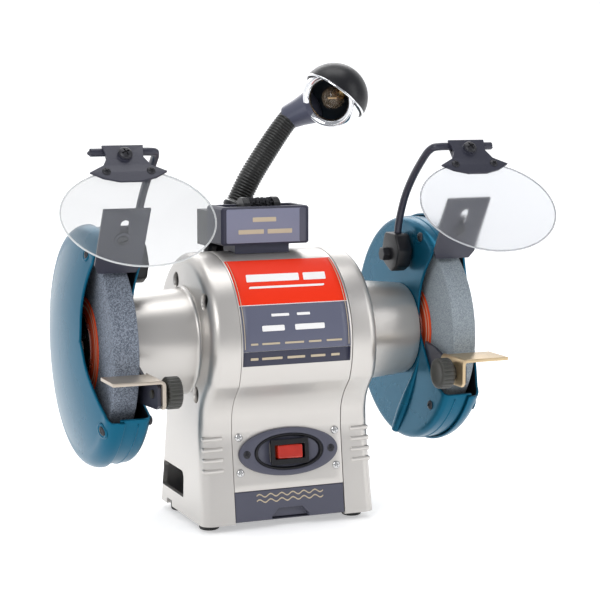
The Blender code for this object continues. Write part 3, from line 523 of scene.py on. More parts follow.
# %% [markdown]
# ### Inks and floor
# Print is an even film with little gloss. The floor glows slightly, so that it stays pale where
# the soft boxes don't reach.
# %% Inks and floor
CREAM = finish("cream_print", "slate_plastic", (0.50, 0.42, 0.30), 0.50, 0.0, (60, 0.05))
WHITE = finish("white_print", "silver_paint", (0.86, 0.85, 0.84), 0.40, 0.0, (60, 0.02),
               (900, 0.02))
LABEL_RED = finish("label_red", "silver_paint", (0.82, 0.030, 0.004), 0.45, 0.0, (30, 0.03),
                   (900, 0.02), Specular_IOR_Level=0.2)
LABEL_SLATE = finish("label_slate", "silver_paint", (0.105, 0.112, 0.165), 0.36, 0.0, (30, 0.03),
                     (900, 0.02))
LABEL_DARK = finish("label_dark", "silver_paint", (0.022, 0.024, 0.050), 0.36, 0.0, (30, 0.03),
                    (900, 0.02))
FLOOR = finish("floor", None, (0.90, 0.90, 0.90), 0.9, 0.0, (3, 0.01), (40, 0.01),
               Emission_Color=(1, 1, 1, 1), Emission_Strength=0.42)
print("inks and floor made")

# %% [markdown]
# ### Grinding wheels
# A grinding wheel is crushed grit held in a bond. Voronoi cells give each grain its own
# shade and a raised, broken surface: large cells for the coarse wheel, small for the fine one.


# %% Grit
def stone(name, dark, light, grains_per_metre, relief):
    """Voronoi cells: each cell takes a shade between dark and light, and its own height."""
    material = finish(name, name, light, 0.9)
    tree, shader, made = parts_of(material)
    cells = tree.nodes.new("ShaderNodeTexVoronoi")
    cells.inputs["Scale"].default_value = grains_per_metre
    tree.links.new(made["Mapping"].outputs["Vector"], cells.inputs["Vector"])
    grey = tree.nodes.new("ShaderNodeRGBToBW")
    tree.links.new(cells.outputs["Color"], grey.inputs["Color"])
    ramp = tree.nodes.new("ShaderNodeValToRGB")
    low, high = ramp.color_ramp.elements
    low.position, high.position = 0.22, 0.80
    low.color, high.color = (*dark, 1), (*light, 1)
    tree.links.new(grey.outputs["Val"], ramp.inputs["Fac"])
    tree.links.new(ramp.outputs["Color"], shader.inputs["Base Color"])
    made["Bump"].inputs["Strength"].default_value = relief
    tree.links.new(grey.outputs["Val"], made["Bump"].inputs["Height"])
    return material


COARSE = stone("coarse_stone", (0.095, 0.112, 0.145), (0.25, 0.285, 0.34), 1300, 0.40)
FINE = stone("fine_stone", (0.20, 0.23, 0.26), (0.34, 0.39, 0.42), 1900, 0.30)
print("grit made")

# %% [markdown]
# ### Card washers
# A washer of orange card lies on each side of a wheel, printed with pale rings. A ring is a
# matter of distance from the shaft, so the nodes measure that and pick a band of colour.
# %% Card
ORANGE, PALE, CARD_R = (0.80, 0.075, 0.012), (0.85, 0.45, 0.32), 0.0380
CARD = finish("orange_card", "orange_paper", ORANGE, 0.6, 0.0, (200, 0.06), (900, 0.08))
card_tree, card_shader, card_nodes = parts_of(CARD)
shift = card_tree.nodes.new("ShaderNodeMapping")
shift.inputs["Location"].default_value = (0, -SHAFT[1], -SHAFT[2])
card_tree.links.new(card_nodes["TexCoord"].outputs["Object"], shift.inputs["Vector"])
flat = card_tree.nodes.new("ShaderNodeVectorMath")
flat.operation = "MULTIPLY"
flat.inputs[1].default_value = (0, 1, 1)
card_tree.links.new(shift.outputs["Vector"], flat.inputs[0])
reach = card_tree.nodes.new("ShaderNodeVectorMath")
reach.operation = "LENGTH"
card_tree.links.new(flat.outputs["Vector"], reach.inputs[0])
rings = card_tree.nodes.new("ShaderNodeMapRange")
rings.inputs["From Min"].default_value, rings.inputs["From Max"].default_value = 0.0, CARD_R
card_tree.links.new(reach.outputs["Value"], rings.inputs["Value"])
bands = card_tree.nodes.new("ShaderNodeValToRGB")
bands.color_ramp.interpolation = "CONSTANT"
bands.color_ramp.elements[1].position = 0.78
for spot in (0.83, 0.90, 0.93):
    bands.color_ramp.elements.new(spot)
for element, tone in zip(bands.color_ramp.elements, (ORANGE, PALE, ORANGE, PALE, ORANGE)):
    element.color = (*tone, 1)
card_tree.links.new(rings.outputs["Result"], bands.inputs["Fac"])
card_tree.links.new(bands.outputs["Color"], card_shader.inputs["Base Color"])
print("card made")

# %% [markdown]
# ### Clear plastic
# The clear lens and the bulb let the background through by alpha, which stays clean and keeps
# the gloss. The other lens is a true glass with a low bending of light, frosted pale as a painted
# reflection of a soft box.


# %% Clear plastic
def clear(name, colour, see_through, rough, slot="clear_plastic", **sockets):
    """A clear moulding: what it lets through is set by alpha, and its gloss stays on top."""
    return finish(name, slot, colour, rough, 0.0, (20, 0.01), (60, 0.004), rough_range=0.02,
                  Alpha=1 - see_through, **sockets)


LENS_CLEAR = clear("lens_clear", (0.22, 0.23, 0.24), 0.79, 0.05, Specular_IOR_Level=0.35)
# a pale ring on each lens's edge: a painted highlight
LENS_RIM_HIGHLIGHT = clear("lens_rim", (0.80, 0.82, 0.82), 0.40, 0.12)
# the right lens, frosted pale: a painted reflection of a soft box; its rim ring a painted
# highlight
LENS_PAINTED_GLARE = clear("lens_painted_glare", (0.80, 0.81, 0.83), 0.0, 0.22, Transmission_Weight=0.95, IOR=1.13)
LENS_GLARE_RIM = clear("lens_glare_rim", (0.60, 0.61, 0.63), 0.35, 0.25)
# the amber-brown tint of the clear bulb paints the reflections seen in it
GLASS = clear("bulb_glass", (0.20, 0.15, 0.10), 0.66, 0.04, "bulb_glass", Specular_IOR_Level=0.9)
FILAMENT = finish("filament", "bulb_glass", (0.9, 0.6, 0.3), 0.4, 0.0, (50, 0.02), (900, 0.02),
                  Emission_Color=(1.0, 0.72, 0.40, 1), Emission_Strength=0.3)
print("clear finishes made")

# %% [markdown]
# ## Floor
# One sheet lies flat under the machine and curves up behind it, as in a small studio.
# %% Floor sheet
BEND_START, BEND_R, FRONT_EDGE, HALF_WIDE = 1.2, 1.5, -16.0, 14
bend = np.linspace(0.05, math.pi / 2, 24)
run = np.vstack([[(FRONT_EDGE, 0), (BEND_START, 0)],
                 np.stack([BEND_START + BEND_R * np.sin(bend), BEND_R * (1 - np.cos(bend))], -1),
                 [(BEND_START + BEND_R, 5.0)]])
wide = np.linspace(-HALF_WIDE, HALF_WIDE, 5)
sheet = grid(wide, run[:, :1], run[:, 1:] - 0.0002)
floor = put("floor", sheet - SHAFT, grid_faces(len(run), len(wide)), FLOOR, None,
            inside=(0, 0, -5))
floor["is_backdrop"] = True
print("floor", len(floor.data.vertices), "points")

# %% [markdown]
# ## Motor body
# Seen from the side, the body is a round motor on a waisted foot. The pressed middle is a
# sheet bent round that outline, and each end is a cast bell of the same outline whose outer
# edge is well rounded. So one function gives the outline, and both use it.
# %% Body outline
MOTOR_R, SEAM_X, CAP_X, SHEET = 0.0665, 0.0444, 0.0700, 0.0032
PANEL_TOP_Y, PANEL_TOP_Z, FOOT_Z, SHELL_FRONT_END = -0.0440, -0.0660, -0.1330, -0.1092
PANEL_TILT = math.atan2(0.0090, 0.0670)  # how far the front panel leans out, over its height
WAIST = [(-0.0500, -0.0395), (-0.0447, -0.0510), (PANEL_TOP_Y, PANEL_TOP_Z)]


def panel_y(z):
    """Where the front panel is at a height."""
    return PANEL_TOP_Y - (PANEL_TOP_Z - z) * math.tan(PANEL_TILT)


def front_line(bottom=FOOT_Z):
    """The front half from the top down: an arc of radius R, the waist curve, then the panel."""
    a = np.radians(np.linspace(90, 204, 58))
    arc = MOTOR_R * np.stack([np.cos(a), np.sin(a)], -1)
    z = np.linspace(PANEL_TOP_Z, bottom, 9)[1:]
    return np.vstack([arc, curve([arc[-1], *WAIST], 8)[1:], np.stack([panel_y(z), z], -1)])


def body_outline(front_bottom=FOOT_Z):
    """Front from its foot up to the top, then the back down to its foot: an open line (y, z)."""
    front, back = front_line(front_bottom), front_line()
    back[:, 0] *= -1
    return np.vstack([front[::-1], back[1:]])


def panel_frame(z):
    """Origin and axes on the front panel: X across, Y up the panel, Z straight out of it."""
    c, s = math.cos(PANEL_TILT), math.sin(PANEL_TILT)
    return (0, panel_y(z), z), (1, 0, 0), (0, s, c), (0, -c, s)


def box_cutter(outline, place, low, high):
    """A plain prism used as a cutter, its edges left sharp."""
    points, faces = slab_mesh(outline, place, low, high, 1e-5, 1)
    return put("cutter", points, faces, BLACK, None, inside=points.mean(0))


print("outline of", len(body_outline()), "points")

# %% [markdown]
# ### Motor skin
# The pressed middle is the outline drawn out along the shaft. Solidify gives the sheet its
# thickness inwards, and the opening for the switch is cut through it.
# %% Motor skin
SWITCH_Z = -0.0818
switch_place = panel_frame(SWITCH_Z)
line = body_outline(SHELL_FRONT_END)
width = np.linspace(0.0002 - SEAM_X, SEAM_X - 0.0002, 12)
motor_skin = put("motor_skin", grid(width, line[:, :1], line[:, 1:]),
                 grid_faces(len(line), len(width)), SILVER, replaces=("motor_shell",))
thick(motor_skin, SHEET, 0.0006)
carve(motor_skin, box_cutter(rectangle(-0.0140, 0.0140, -0.0083, 0.0083), switch_place,
                             -0.02, 0.02))
print("motor skin", len(motor_skin.data.polygons), "faces")

# %% [markdown]
# ### Screws
# Every visible screw is a low dome with a line or a cross cut into it. They differ only in
# place and size, so one function makes them all.


# %% Screws
def screw(name, centre, axis, radius, height, material, slots="cross", **more):
    """A domed head, radius r sqrt(1 - t^2.2) over height, with a line or a cross cut into it."""
    t = np.linspace(0, 1, 7)[1:-1]
    dome = [(0, -0.0012), (radius, -0.0012), (radius, 0)]
    dome += [(radius * math.sqrt(1 - k ** 2.2), height * k) for k in t] + [(0, height)]
    head = turned(name, dome, centre, axis, material, 28, **more)
    first, second = across(axis)
    long, turns = (0.62, (0.4, 0.4 + math.pi / 2)) if slots == "cross" else (1.2, (0.4,))
    cut = rectangle(-radius * long, radius * long, -radius * 0.11, radius * 0.11)
    tools = []
    for turn in turns:
        u = math.cos(turn) * first + math.sin(turn) * second
        v = np.cross(unit(axis), u)
        tools.append(box_cutter(cut, (centre, u, v, unit(axis)), height * 0.35, height * 2))
    carve(head, *tools)


print("screw heads ready")

# %% [markdown]
# ## Cast ends
# Each end bell is lofted: the outline is drawn in as it turns the outer corner, and again in
# a last flat step to the end face. It gets its wall from Solidify. The round pockets, the
# side window and the hand groove are then cut for good, and the long neck is a turned piece.
# %% End bells
POCKETS = ((-0.0450, 0.0345), (-0.0305, -0.0365), (0.0190, 0.0440), (0.0300, -0.0365))
BELL_CORNER, LEAN, SCREW_DEPTH = 0.0080, 0.0050, 0.0072
WINDOW = [(0.046, -0.120), (-0.006, -0.120), (-0.006, -0.104), (-0.003, -0.100), (0.040, -0.100),
          (0.046, -0.106)]
GROOVE = rectangle(0.021, 0.033, -0.14, -0.1285)
SEAT = [(0, -0.0010), (0.0066, -0.0010), (0.0066, 0.0004), (0, 0.0004)]
NECK = [(0.0418, 0.0640), (0.0418, 0.0668), (0.0411, 0.0673), (0.0406, 0.0680), (0.0403, 0.0690),
        (0.0402, 0.0702)]
NECK += [(0.0402 - 0.0043 * (x - 0.0702) / 0.0445, x) for x in np.linspace(0.0710, 0.1147, 12)]
NECK += [(0.0355, 0.1156), (0.0348, 0.1160), (0.0150, 0.1160), (0.0150, 0.0640)]


def face_lean(z):
    """How far the side face has come in at a height: 0 at the foot, 5 mm at the top."""
    return LEAN * (z - FOOT_Z) / (MOTOR_R - FOOT_Z)


def bell_surface(side):
    """Stations at corner angle a: outline drawn in by r(1 - cos a), x = X(z) - r(1 - sin a).

    The side face leans: X(z) falls evenly by 5 mm from the foot to the top. The last stations
    fold the face flat: y shrinks to (1 - t) y while z stays.
    """
    base = body_outline()
    ahead = unit(np.gradient(base, axis=0))
    inward = np.stack([ahead[:, 1], -ahead[:, 0]], -1)
    inward[[0, -1], 1] = 0
    a = np.linspace(0, np.pi / 2, 9)
    shift = np.concatenate([[0, 0], BELL_CORNER * (1 - np.cos(a[1:]))])
    depth = np.concatenate([[SEAM_X + 0.0002, CAP_X - BELL_CORNER - 0.0001],
                            CAP_X - BELL_CORNER * (1 - np.sin(a[1:]))])
    rings = base + shift[:, None, None] * unit(inward)
    rings[:, [0, -1], 1] = FOOT_Z
    t = np.linspace(0, 1, 12)[1:, None]
    rings = np.concatenate([rings, rings[-1] * np.stack([1 - t, np.ones_like(t)], -1)])
    depth = np.concatenate([depth, np.full(len(t), CAP_X)])
    lean = np.clip((depth - SEAM_X) / (CAP_X - BELL_CORNER - SEAM_X), 0, 1)[:, None]
    depth = depth[:, None] - lean * face_lean(rings[..., 1])
    return grid(side * depth, rings[..., 0], rings[..., 1])


def end_bell(side, name):
    """The cast bell with its pockets, window and groove, its long neck and its four screws."""
    points, out = bell_surface(side), (side, 0, 0)
    bell = put(f"end_bell_{name}", points, grid_faces(*points.shape[:2]), SILVER,
               replaces=(f"end_cap_{name}",), inside=(side * 0.03, 0, -0.03))
    thick(bell, SHEET)
    cutters = []
    for y, z in POCKETS:
        face = CAP_X - face_lean(z)
        pocket = [(0, face - 0.0090), (0.0060, face - 0.0090), (0.0060, face - 0.0007),
                  (0.0065, face), (0.0070, face + 0.0060), (0, face + 0.0060)]
        cutters.append(turned("cutter", pocket, (0, y, z), out, BLACK, 32, body=None))
    for shape in (rounded(WINDOW, 0.0015), GROOVE):
        cutters.append(box_cutter(shape, PROFILE, side * 0.060, side * 0.080))
    carve(bell, *cutters)
    turned(f"bearing_neck_{name}", NECK, (0, 0, 0), out, SILVER, sharp=30)
    for place, (y, z) in enumerate(POCKETS):
        centre = np.array((side * (CAP_X - face_lean(z) - SCREW_DEPTH), y, z))
        screw(f"bell_screw_{name}_{place}", centre, out, 0.0044, 0.0018, DARK_STEEL)
        turned(f"bell_seat_{name}_{place}", SEAT, centre, out, SILVER, 32)


for side, name in SIDES:
    end_bell(side, name)
    for row in range(4):
        z = -0.0687 - 0.0079 * row
        rib = rectangle(panel_y(z) - 0.0008, panel_y(z) + 0.0105, z - 0.0018, z + 0.0018)
        slab(f"corner_rib_{name}_{row}", rounded(rib, 0.0016, 4), PROFILE, side * 0.0515,
             side * (CAP_X - face_lean(z) - 0.0012), SILVER, 0.0012)
print("end bells, necks, screws and ribs made")

# %% [markdown]
# ## Feet, gland and front panel screws
# Small turned pieces: a rubber foot is a drum with a rounded rim, and the gland is a stack of
# rubber rings round the hole where a lead would leave.
# %% Small body pieces
FOOT = [(0, -0.0003), (0.0078, -0.0003), (0.0079, -0.0020), (0.0077, -0.0044), (0.0072, -0.0055),
        (0.0062, -0.0060), (0.0030, -0.0060), (0.0026, -0.0048), (0, -0.0048)]
GLAND = [(0, 0.0600), (0.0030, 0.0602), (0.0036, 0.0612), (0.0036, 0.0636), (0.0042, 0.0640),
         (0.0058, 0.0640), (0.0062, 0.0634), (0.0064, 0.0618), (0.0060, 0.0612), (0.0066, 0.0606),
         (0.0068, 0.0590), (0.0064, 0.0584), (0.0072, 0.0578), (0.0075, 0.0562), (0.0092, 0.0560),
         (0.0095, 0.0552), (0.0095, 0.0496), (0, 0.0496)]
for y, end in ((-0.033, "front"), (0.033, "back")):
    for side, name in SIDES:
        turned(f"rubber_foot_{end}_{name}", FOOT, (side * 0.0585, y, FOOT_Z), UPWARD, RUBBER, 40,
               replaces=(f"foot_{end}_{name}",))
turned("rubber_gland", GLAND, (-0.022, 0, -0.095), FORWARD, RUBBER, 48, replaces=("cable_gland",))
for side, name in SIDES:
    for z, end in ((-0.0688, "top"), (-0.0953, "low")):
        place = panel_frame(z)
        screw(f"panel_screw_{name}_{end}", at(place, side * 0.0390, 0, 0.0004), place[3], 0.0031,
              0.0014, STEEL)
print("feet, gland and panel screws made")

# %% [markdown]
# ## Switch
# The bezel is an oval moulding: its rim rolls over, and inside that a shallow dish leads down
# to the switch. It is a stack of superellipses, from the panel up over the rim and in.
# %% Switch bezel
SURROUND = [(0.0400, 0.0180, 0.0003, 2.0), (0.0400, 0.0180, 0.0021, 2.0),
            (0.0396, 0.0177, 0.0029, 2.0), (0.0388, 0.0170, 0.0032, 2.0),
            (0.0300, 0.0146, 0.0032, 2.0), (0.0282, 0.0139, 0.0030, 2.1),
            (0.0276, 0.0135, 0.0022, 2.1), (0.0254, 0.0126, 0.0010, 2.2),
            (0.0160, 0.0104, 0.0009, 5.0), (0.0150, 0.0090, 0.0003, 7.0)]
RING = [(0.0274, 0.0134, 0.0010, 2.1), (0.0277, 0.0137, 0.0030, 2.1),
        (0.0272, 0.0133, 0.0037, 2.1), (0.0262, 0.0124, 0.0037, 2.1),
        (0.0252, 0.0117, 0.0030, 2.2), (0.0246, 0.0113, 0.0010, 2.2)]


def dish(name, stations, material, **more):
    """Closed loops of superellipses (half x, half y, height, power), joined into a skin."""
    loops = np.stack([oval(a, b, power, 96) for a, b, _, power in stations])
    height = np.array([h for _, _, h, _ in stations])[:, None, None]
    put(name, at(switch_place, loops[..., :1], loops[..., 1:], height),
        grid_faces(len(stations), 96, True, True), material, inside=switch_place[0], **more)


dish("switch_surround", SURROUND, SLATE, replaces=("switch_bezel",))
dish("switch_ring", RING, BLACK)
for side, name in SIDES:
    screw(f"bezel_screw_{name}", at(switch_place, side * 0.0340, 0, 0.0030), switch_place[3],
          0.0030, 0.0012, DARK_STEEL, slot="slate_plastic")
print("switch bezel made")

# %% [markdown]
# ## Front label
# A printed sheet wraps the motor's front. It is drawn as bands of one cylinder, a little proud
# of the enamel. Its words are replaced by plain bars, made as raised patches.


# %% Label sheets
FILM = 0.00016  # the printed sheet's own thickness


def wrap(name, x0, x1, top, low, material, lift=0.0003, steps=40):
    """A patch of the cylinder: (x, -R cos a, R sin a), with a from low to top in degrees."""
    radius = MOTOR_R + lift
    a = np.radians(np.linspace(low, top, steps))[:, None]
    x = np.linspace(x0, x1, 14)
    patch = put(name, grid(x, -radius * np.cos(a), radius * np.sin(a)), grid_faces(steps, len(x)),
                material, slot="silver_paint", sharp=60)
    modify(patch, "SOLIDIFY", thickness=FILM, offset=-1)


LABEL_LEFT, LABEL_RIGHT = -0.0432, 0.0424
for name, top, low, ink, lift in (("label_red_field", 67.0, 28.7, LABEL_RED, 0.0003),
                                  ("label_slate_field", 28.4, -1.0, LABEL_SLATE, 0.0003),
                                  ("label_dark_strip", -1.2, -10.5, LABEL_DARK, 0.0003),
                                  ("label_split", 28.75, 28.35, WHITE, 0.0004)):
    wrap(name, LABEL_LEFT, LABEL_RIGHT, top, low, ink, lift)
for side, edge in (("left", LABEL_LEFT + 0.0012), ("right", LABEL_RIGHT - 0.0017)):
    wrap(f"label_line_{side}", edge, edge + 0.0005, 65.5, 0.5, CREAM, 0.00048)
print("label fields made")

# %% [markdown]
# ### Label bars
# A bar is drawn flat, then bent onto the cylinder: its height up the sheet becomes an angle.


# %% Label bars
def wrapped_patch(name, outline, x, angle, material, lift=0.00062):
    """A flat outline (u across, v up) bent onto the cylinder: a = centre angle + v / R."""
    flat = np.asarray(outline, float)
    radius = MOTOR_R + lift
    a = math.radians(angle) + flat[:, 1] / radius
    points = grid(x + flat[:, 0], -radius * np.cos(a), radius * np.sin(a))
    inner = points * np.array((1, 0.9965, 0.9965))
    count = len(flat)
    faces = [list(range(count)), list(range(2 * count - 1, count - 1, -1))]
    faces += [[i, (i + 1) % count, count + (i + 1) % count, count + i] for i in range(count)]
    put(name, np.vstack([points, inner]), faces, material, slot="silver_paint",
        inside=points.mean(0) * 0.998, sharp=30)


SLANT = 0.0012
for number, (x, angle, half, tall) in enumerate(((-0.0120, 48.5, 0.0210, 0.0036),
                                                 (0.0215, 48.5, 0.0090, 0.0036),
                                                 (-0.0030, 41.0, 0.0300, 0.0009))):
    shape = [(-half, -tall), (half, -tall), (half + SLANT, tall), (SLANT - half, tall)]
    wrapped_patch(f"label_bar_{number}", rounded(shape, 0.0009, 3), x, angle, WHITE)
ROWS = ((21.5, 0.0010, ((-0.0125, 0.0070), (0.0060, 0.0052)), WHITE),
        (13.2, 0.0021, ((-0.0190, 0.0088), (0.0100, 0.0118)), WHITE),
        (3.6, 0.0007, ((-0.0345, 0.0028), (-0.0215, 0.0070), (-0.0030, 0.0075), (0.0135, 0.0050),
                       (0.0290, 0.0062)), CREAM),
        (-5.8, 0.0009, ((-0.0345, 0.0030), (-0.0205, 0.0080), (-0.0015, 0.0070), (0.0160, 0.0058),
                        (0.0300, 0.0034)), CREAM))
for row, (angle, tall, spans, ink) in enumerate(ROWS):
    for number, (x, half) in enumerate(spans):
        wrapped_patch(f"label_row_{row}_{number}",
                      rounded(rectangle(-half, half, -tall, tall), tall * 0.45, 3), x, angle, ink)
print("label bars made")

# %% [markdown]
# ## Wheels and their fittings
# Everything that spins is turned: the stones with a small break at each corner, card washers,
# dished steel flanges, and a hexagon nut, whose six flats are a ripple in the radius.
# %% Wheels
WHEEL_IN, WHEEL_OUT, WHEEL_R, BORE, BREAK = 0.1245, 0.1435, 0.0750, 0.00635, 0.0009
NUT_FLAT, NUT_RIM = 0.0094, 0.0085
INNER_FLANGE = [(0.0110, 0.1233), (0.0246, 0.1233), (0.0250, 0.1230), (0.0250, 0.1217),
                (0.0246, 0.1212), (0.0182, 0.1188), (0.0175, 0.1186), (BORE, 0.1186),
                (BORE, 0.1225), (0.0100, 0.1233)]
OUTER_FLANGE = [(0.0170, 0.1494), (0.0186, 0.1492), (0.0196, 0.1486), (0.0228, 0.1474),
                (0.0246, 0.1469), (0.0250, 0.1464), (0.0250, 0.1451), (0.0247, 0.1447),
                (0.0100, 0.1447), (BORE, 0.1455), (BORE, 0.1494)]
NUT = [(0.0063, 0.1497), (0.0110, 0.1497), (0.0110, 0.1535), (0.0106, 0.1541), (0.0096, 0.1549),
       (0.0088, 0.1555), (0.0063, 0.1555)]


def hexagon(angle, radius, height):
    """Distance to the nearest of six flats, kept inside the turned cone at the corners."""
    flat = NUT_FLAT / np.cos((angle + np.pi / 6) % (np.pi / 3) - np.pi / 6)
    r = radius[:, None]
    return np.where(r > NUT_RIM, np.minimum(flat, r), r) / r


def wheel_set(side, name, grit, material):
    """A grinding wheel with its card washers, its flanges and its nut."""
    spin = {"centre": (0, 0, 0), "axis": (side, 0, 0), "body": "rotor"}
    face = np.linspace(0.012, WHEEL_R - BREAK, 12)
    line = [(BORE, WHEEL_IN)] + [(r, WHEEL_IN) for r in face]
    line += [(WHEEL_R, x) for x in np.linspace(WHEEL_IN + 0.0008, WHEEL_OUT - 0.0008, 9)]
    line += [(r, WHEEL_OUT) for r in face[::-1]] + [(BORE, WHEEL_OUT)]
    turned(f"grinding_stone_{grit}", line, material=material, steps=180,
           replaces=(f"wheel_{grit}",), **spin)
    for place, low, high in (("inner", 0.1236, 0.1242), ("outer", 0.1438, 0.1444)):
        card = [(0.0120, low), (CARD_R - 0.0001, low), (CARD_R, low + 0.0001),
                (CARD_R, high - 0.0001), (CARD_R - 0.0001, high), (0.0120, high)]
        turned(f"card_washer_{place}_{name}", card, material=CARD, steps=128,
               replaces=(f"{place}_blotter_{name}",), **spin)
    for place, flange in (("inner", INNER_FLANGE), ("outer", OUTER_FLANGE)):
        turned(f"flange_{place}_{name}", flange, material=STEEL,
               replaces=(f"{place}_flange_{name}",), **spin)
    turned(f"hex_nut_{name}", NUT, material=STEEL, ripple=hexagon, sharp=25,
           replaces=(f"wheel_nut_{name}",), **spin)


wheel_set(-1, "left", "coarse", COARSE)
wheel_set(1, "right", "fine", FINE)
print("wheels made")

# %% [markdown]
# ## Guards
# Each guard is two pressed halves. The inner half is a dished plate bolted to the neck; the
# cover is a shallow drum with a big rounded corner and a slightly domed end, and laps over it.
# Both are open towards the user. So each profile is turned only as far as the opening's edge:
# at every radius the arc starts and stops where that circle meets the edge line.


# %% Opened drums
def opened_drum(name, profile, edge, side, columns=150, **more):
    """(x, r cos a, r sin a) for a between the two angles at which the edge line has radius r."""
    line, beyond = curve(edge, 12), -0.110
    line = np.vstack([(beyond, line[0][1]), line, (beyond, line[-1][1])])
    dense = np.vstack([np.linspace(p, q, 12, endpoint=False)
                       for p, q in zip(line[:-1], line[1:])] + [line[-1:]])
    reach = np.hypot(*dense.T)
    turn = np.degrees(np.arctan2(dense[:, 1], dense[:, 0])) % 360
    nearest = int(np.argmin(reach))
    radius, height = np.asarray(profile, float).T

    def crossing(part):
        """The edge line's angle at each radius, on one side of its nearest point."""
        order = np.argsort(reach[part], kind="stable")
        return np.interp(radius, reach[part][order], turn[part][order])

    whole = radius <= reach[nearest]
    start = np.where(whole, turn[nearest], crossing(slice(nearest, None, -1)))[:, None]
    stop = np.where(whole, turn[nearest], crossing(slice(nearest, None)))[:, None] - 360
    a = np.radians(start + (stop - start) * np.linspace(0, 1, columns))
    r = radius[:, None]
    drum = put(name, grid(side * height[:, None], r * np.cos(a), r * np.sin(a)),
               grid_faces(len(profile), columns), TEAL, **more)
    thick(drum, GUARD_SHEET, 0.0005)
    drum.data.materials.append(INSIDE_SHADE)
    drum.modifiers["Solidify"].material_offset = 1  # the inner side takes the near-black finish, painted shade


COVER_R, COVER_EDGE, COVER_RIM = 0.0903, 0.1365, 0.1495
CORNER, DOME, GUARD_SHEET = 0.0120, 0.0120, 0.0018
KNEE_R, KNEE_X = COVER_R - CORNER, COVER_RIM - CORNER
PLATE_X, BAND_R = 0.1163, 0.0880
cover_edge = [(-0.0490, 0.0860), (-0.0450, 0.0720), (-0.0395, 0.0560), (-0.0370, 0.0380),
              (-0.0390, 0.0160), (-0.0455, -0.0050), (-0.0560, -0.0225), (-0.0665, -0.0370),
              (-0.0740, -0.0450)]
inner_edge = [(-0.0637, 0.0819), (-0.0533, 0.0642), (-0.0400, 0.0480), (-0.0318, 0.0300),
              (-0.0305, 0.0060), (-0.0400, -0.0120), (-0.0560, -0.0320), (-0.0780, -0.0435)]
cover_line = [(r, COVER_RIM + DOME * (1 - (r / KNEE_R) ** 2))
              for r in [0.0, *np.linspace(0.010, KNEE_R, 26)]]
cover_line += [(KNEE_R + CORNER * math.sin(a), KNEE_X + CORNER * math.cos(a))
               for a in np.linspace(0, math.pi / 2, 11)[1:]]
cover_line += [(COVER_R, 0.1372), (COVER_R, COVER_EDGE)]
inner_line = [(0.0125, PLATE_X)] + [(r, PLATE_X) for r in np.linspace(0.02, 0.0822, 26)]
inner_line += [(0.0832 + 0.0048 * math.sin(a), 0.1211 - 0.0048 * math.cos(a))
               for a in np.linspace(0.15, math.pi / 2, 8)]
inner_line += [(BAND_R, x) for x in (0.1240, 0.1300, 0.1340, 0.1397)]
for side, name in SIDES:
    opened_drum(f"cover_{name}", cover_line, cover_edge, side, inside=(side * 0.12, 0, 0),
                replaces=(f"guard_cover_{name}",))
    opened_drum(f"inner_guard_{name}", inner_line, inner_edge, side, inside=(side * 0.13, 0, 0),
                replaces=(f"guard_inner_{name}",))
print("guards made")

# %% [markdown]
# ### Seams, folds and screws on the guards
# The band has a rolled ridge, the plate a pressed fold, and each screw sits in a dimple. They
# are separate thin surfaces laid on the sheet, which is simpler than shaping the sheet itself.


# %% Guard seams, folds and screws
def seam(name, side, x=0.1262, half_wide=0.0012, lift=0.0009):
    """A rolled ridge round the band: height lift x cos^2 across its width."""
    a = np.radians(np.linspace(126, -148, 140))[:, None]
    t = np.linspace(-1, 1, 9)
    r = BAND_R - 0.0003 + lift * np.cos(t * np.pi / 2) ** 2
    ridge = put(name, grid(side * (x + t * half_wide), r * np.cos(a), r * np.sin(a)),
                grid_faces(len(a), len(t)), TEAL, sharp=60)
    modify(ridge, "SOLIDIFY", thickness=0.0004, offset=-1)


def cover_height(reach):
    """Height of the cover's outside at a distance from the shaft: the dome, then the corner."""
    if reach < KNEE_R:
        return COVER_RIM + DOME * (1 - (reach / KNEE_R) ** 2)
    return COVER_RIM + math.sqrt(max(0.0, CORNER ** 2 - (reach - KNEE_R) ** 2)) - CORNER


DIMPLE = [(0.0030, -0.0004), (0.0062, -0.0004), (0.0060, 0.0004), (0.0050, 0.0007),
          (0.0042, 0.0002), (0.0030, 0.0)]
PLATE_SCREWS = {"left": ((-0.0702, -0.0449),), "right": ((-0.0530, -0.0538), (-0.0332, 0.0749))}
for side, name in SIDES:
    seam(f"guard_seam_{name}", side)
    for y, z, spot in ((-0.0620, -0.0520, "low"), (-0.0300, 0.0720, "high")):
        reach = math.hypot(y, z)
        out = unit((side, 0.35 * y / reach, 0.35 * z / reach))
        place = np.array((side * cover_height(reach), y, z)) - 0.0001 * out
        turned(f"cover_dimple_{name}_{spot}", DIMPLE, place, out, TEAL, 40)
        screw(f"cover_screw_{name}_{spot}", place, out, 0.0036, 0.0012, DARK_STEEL,
              slot="slate_steel")
for side, name in SIDES:
    for number, (y, z) in enumerate(PLATE_SCREWS[name]):
        screw(f"plate_screw_{name}_{number}", (side * 0.1162, y, z), (-side, 0, 0), 0.0036,
              0.0018, DARK_STEEL)
    for number, turn in enumerate(np.radians((30, 150, 270))):
        centre = (side * 0.1186, 0.0270 * math.cos(turn), 0.0270 * math.sin(turn))
        screw(f"neck_bolt_{name}_{number}", centre, (side, 0, 0), 0.0030, 0.0014, STEEL)
    # A pressed fold runs from under the neck to the rim and grows as it goes.
    t = np.linspace(0, 1, 40)
    fold = grid(side * 0.1166, -0.0330 + 0.0420 * t ** 1.2, -0.0180 - 0.0660 * t)
    swept(f"guard_fold_{name}", fold, 0.0006 + 0.0042 * np.sin(t * np.pi * 0.72) ** 1.5, TEAL,
          20, (side, 0, 0), sharp=60)
print("guard seams, folds and screws made")

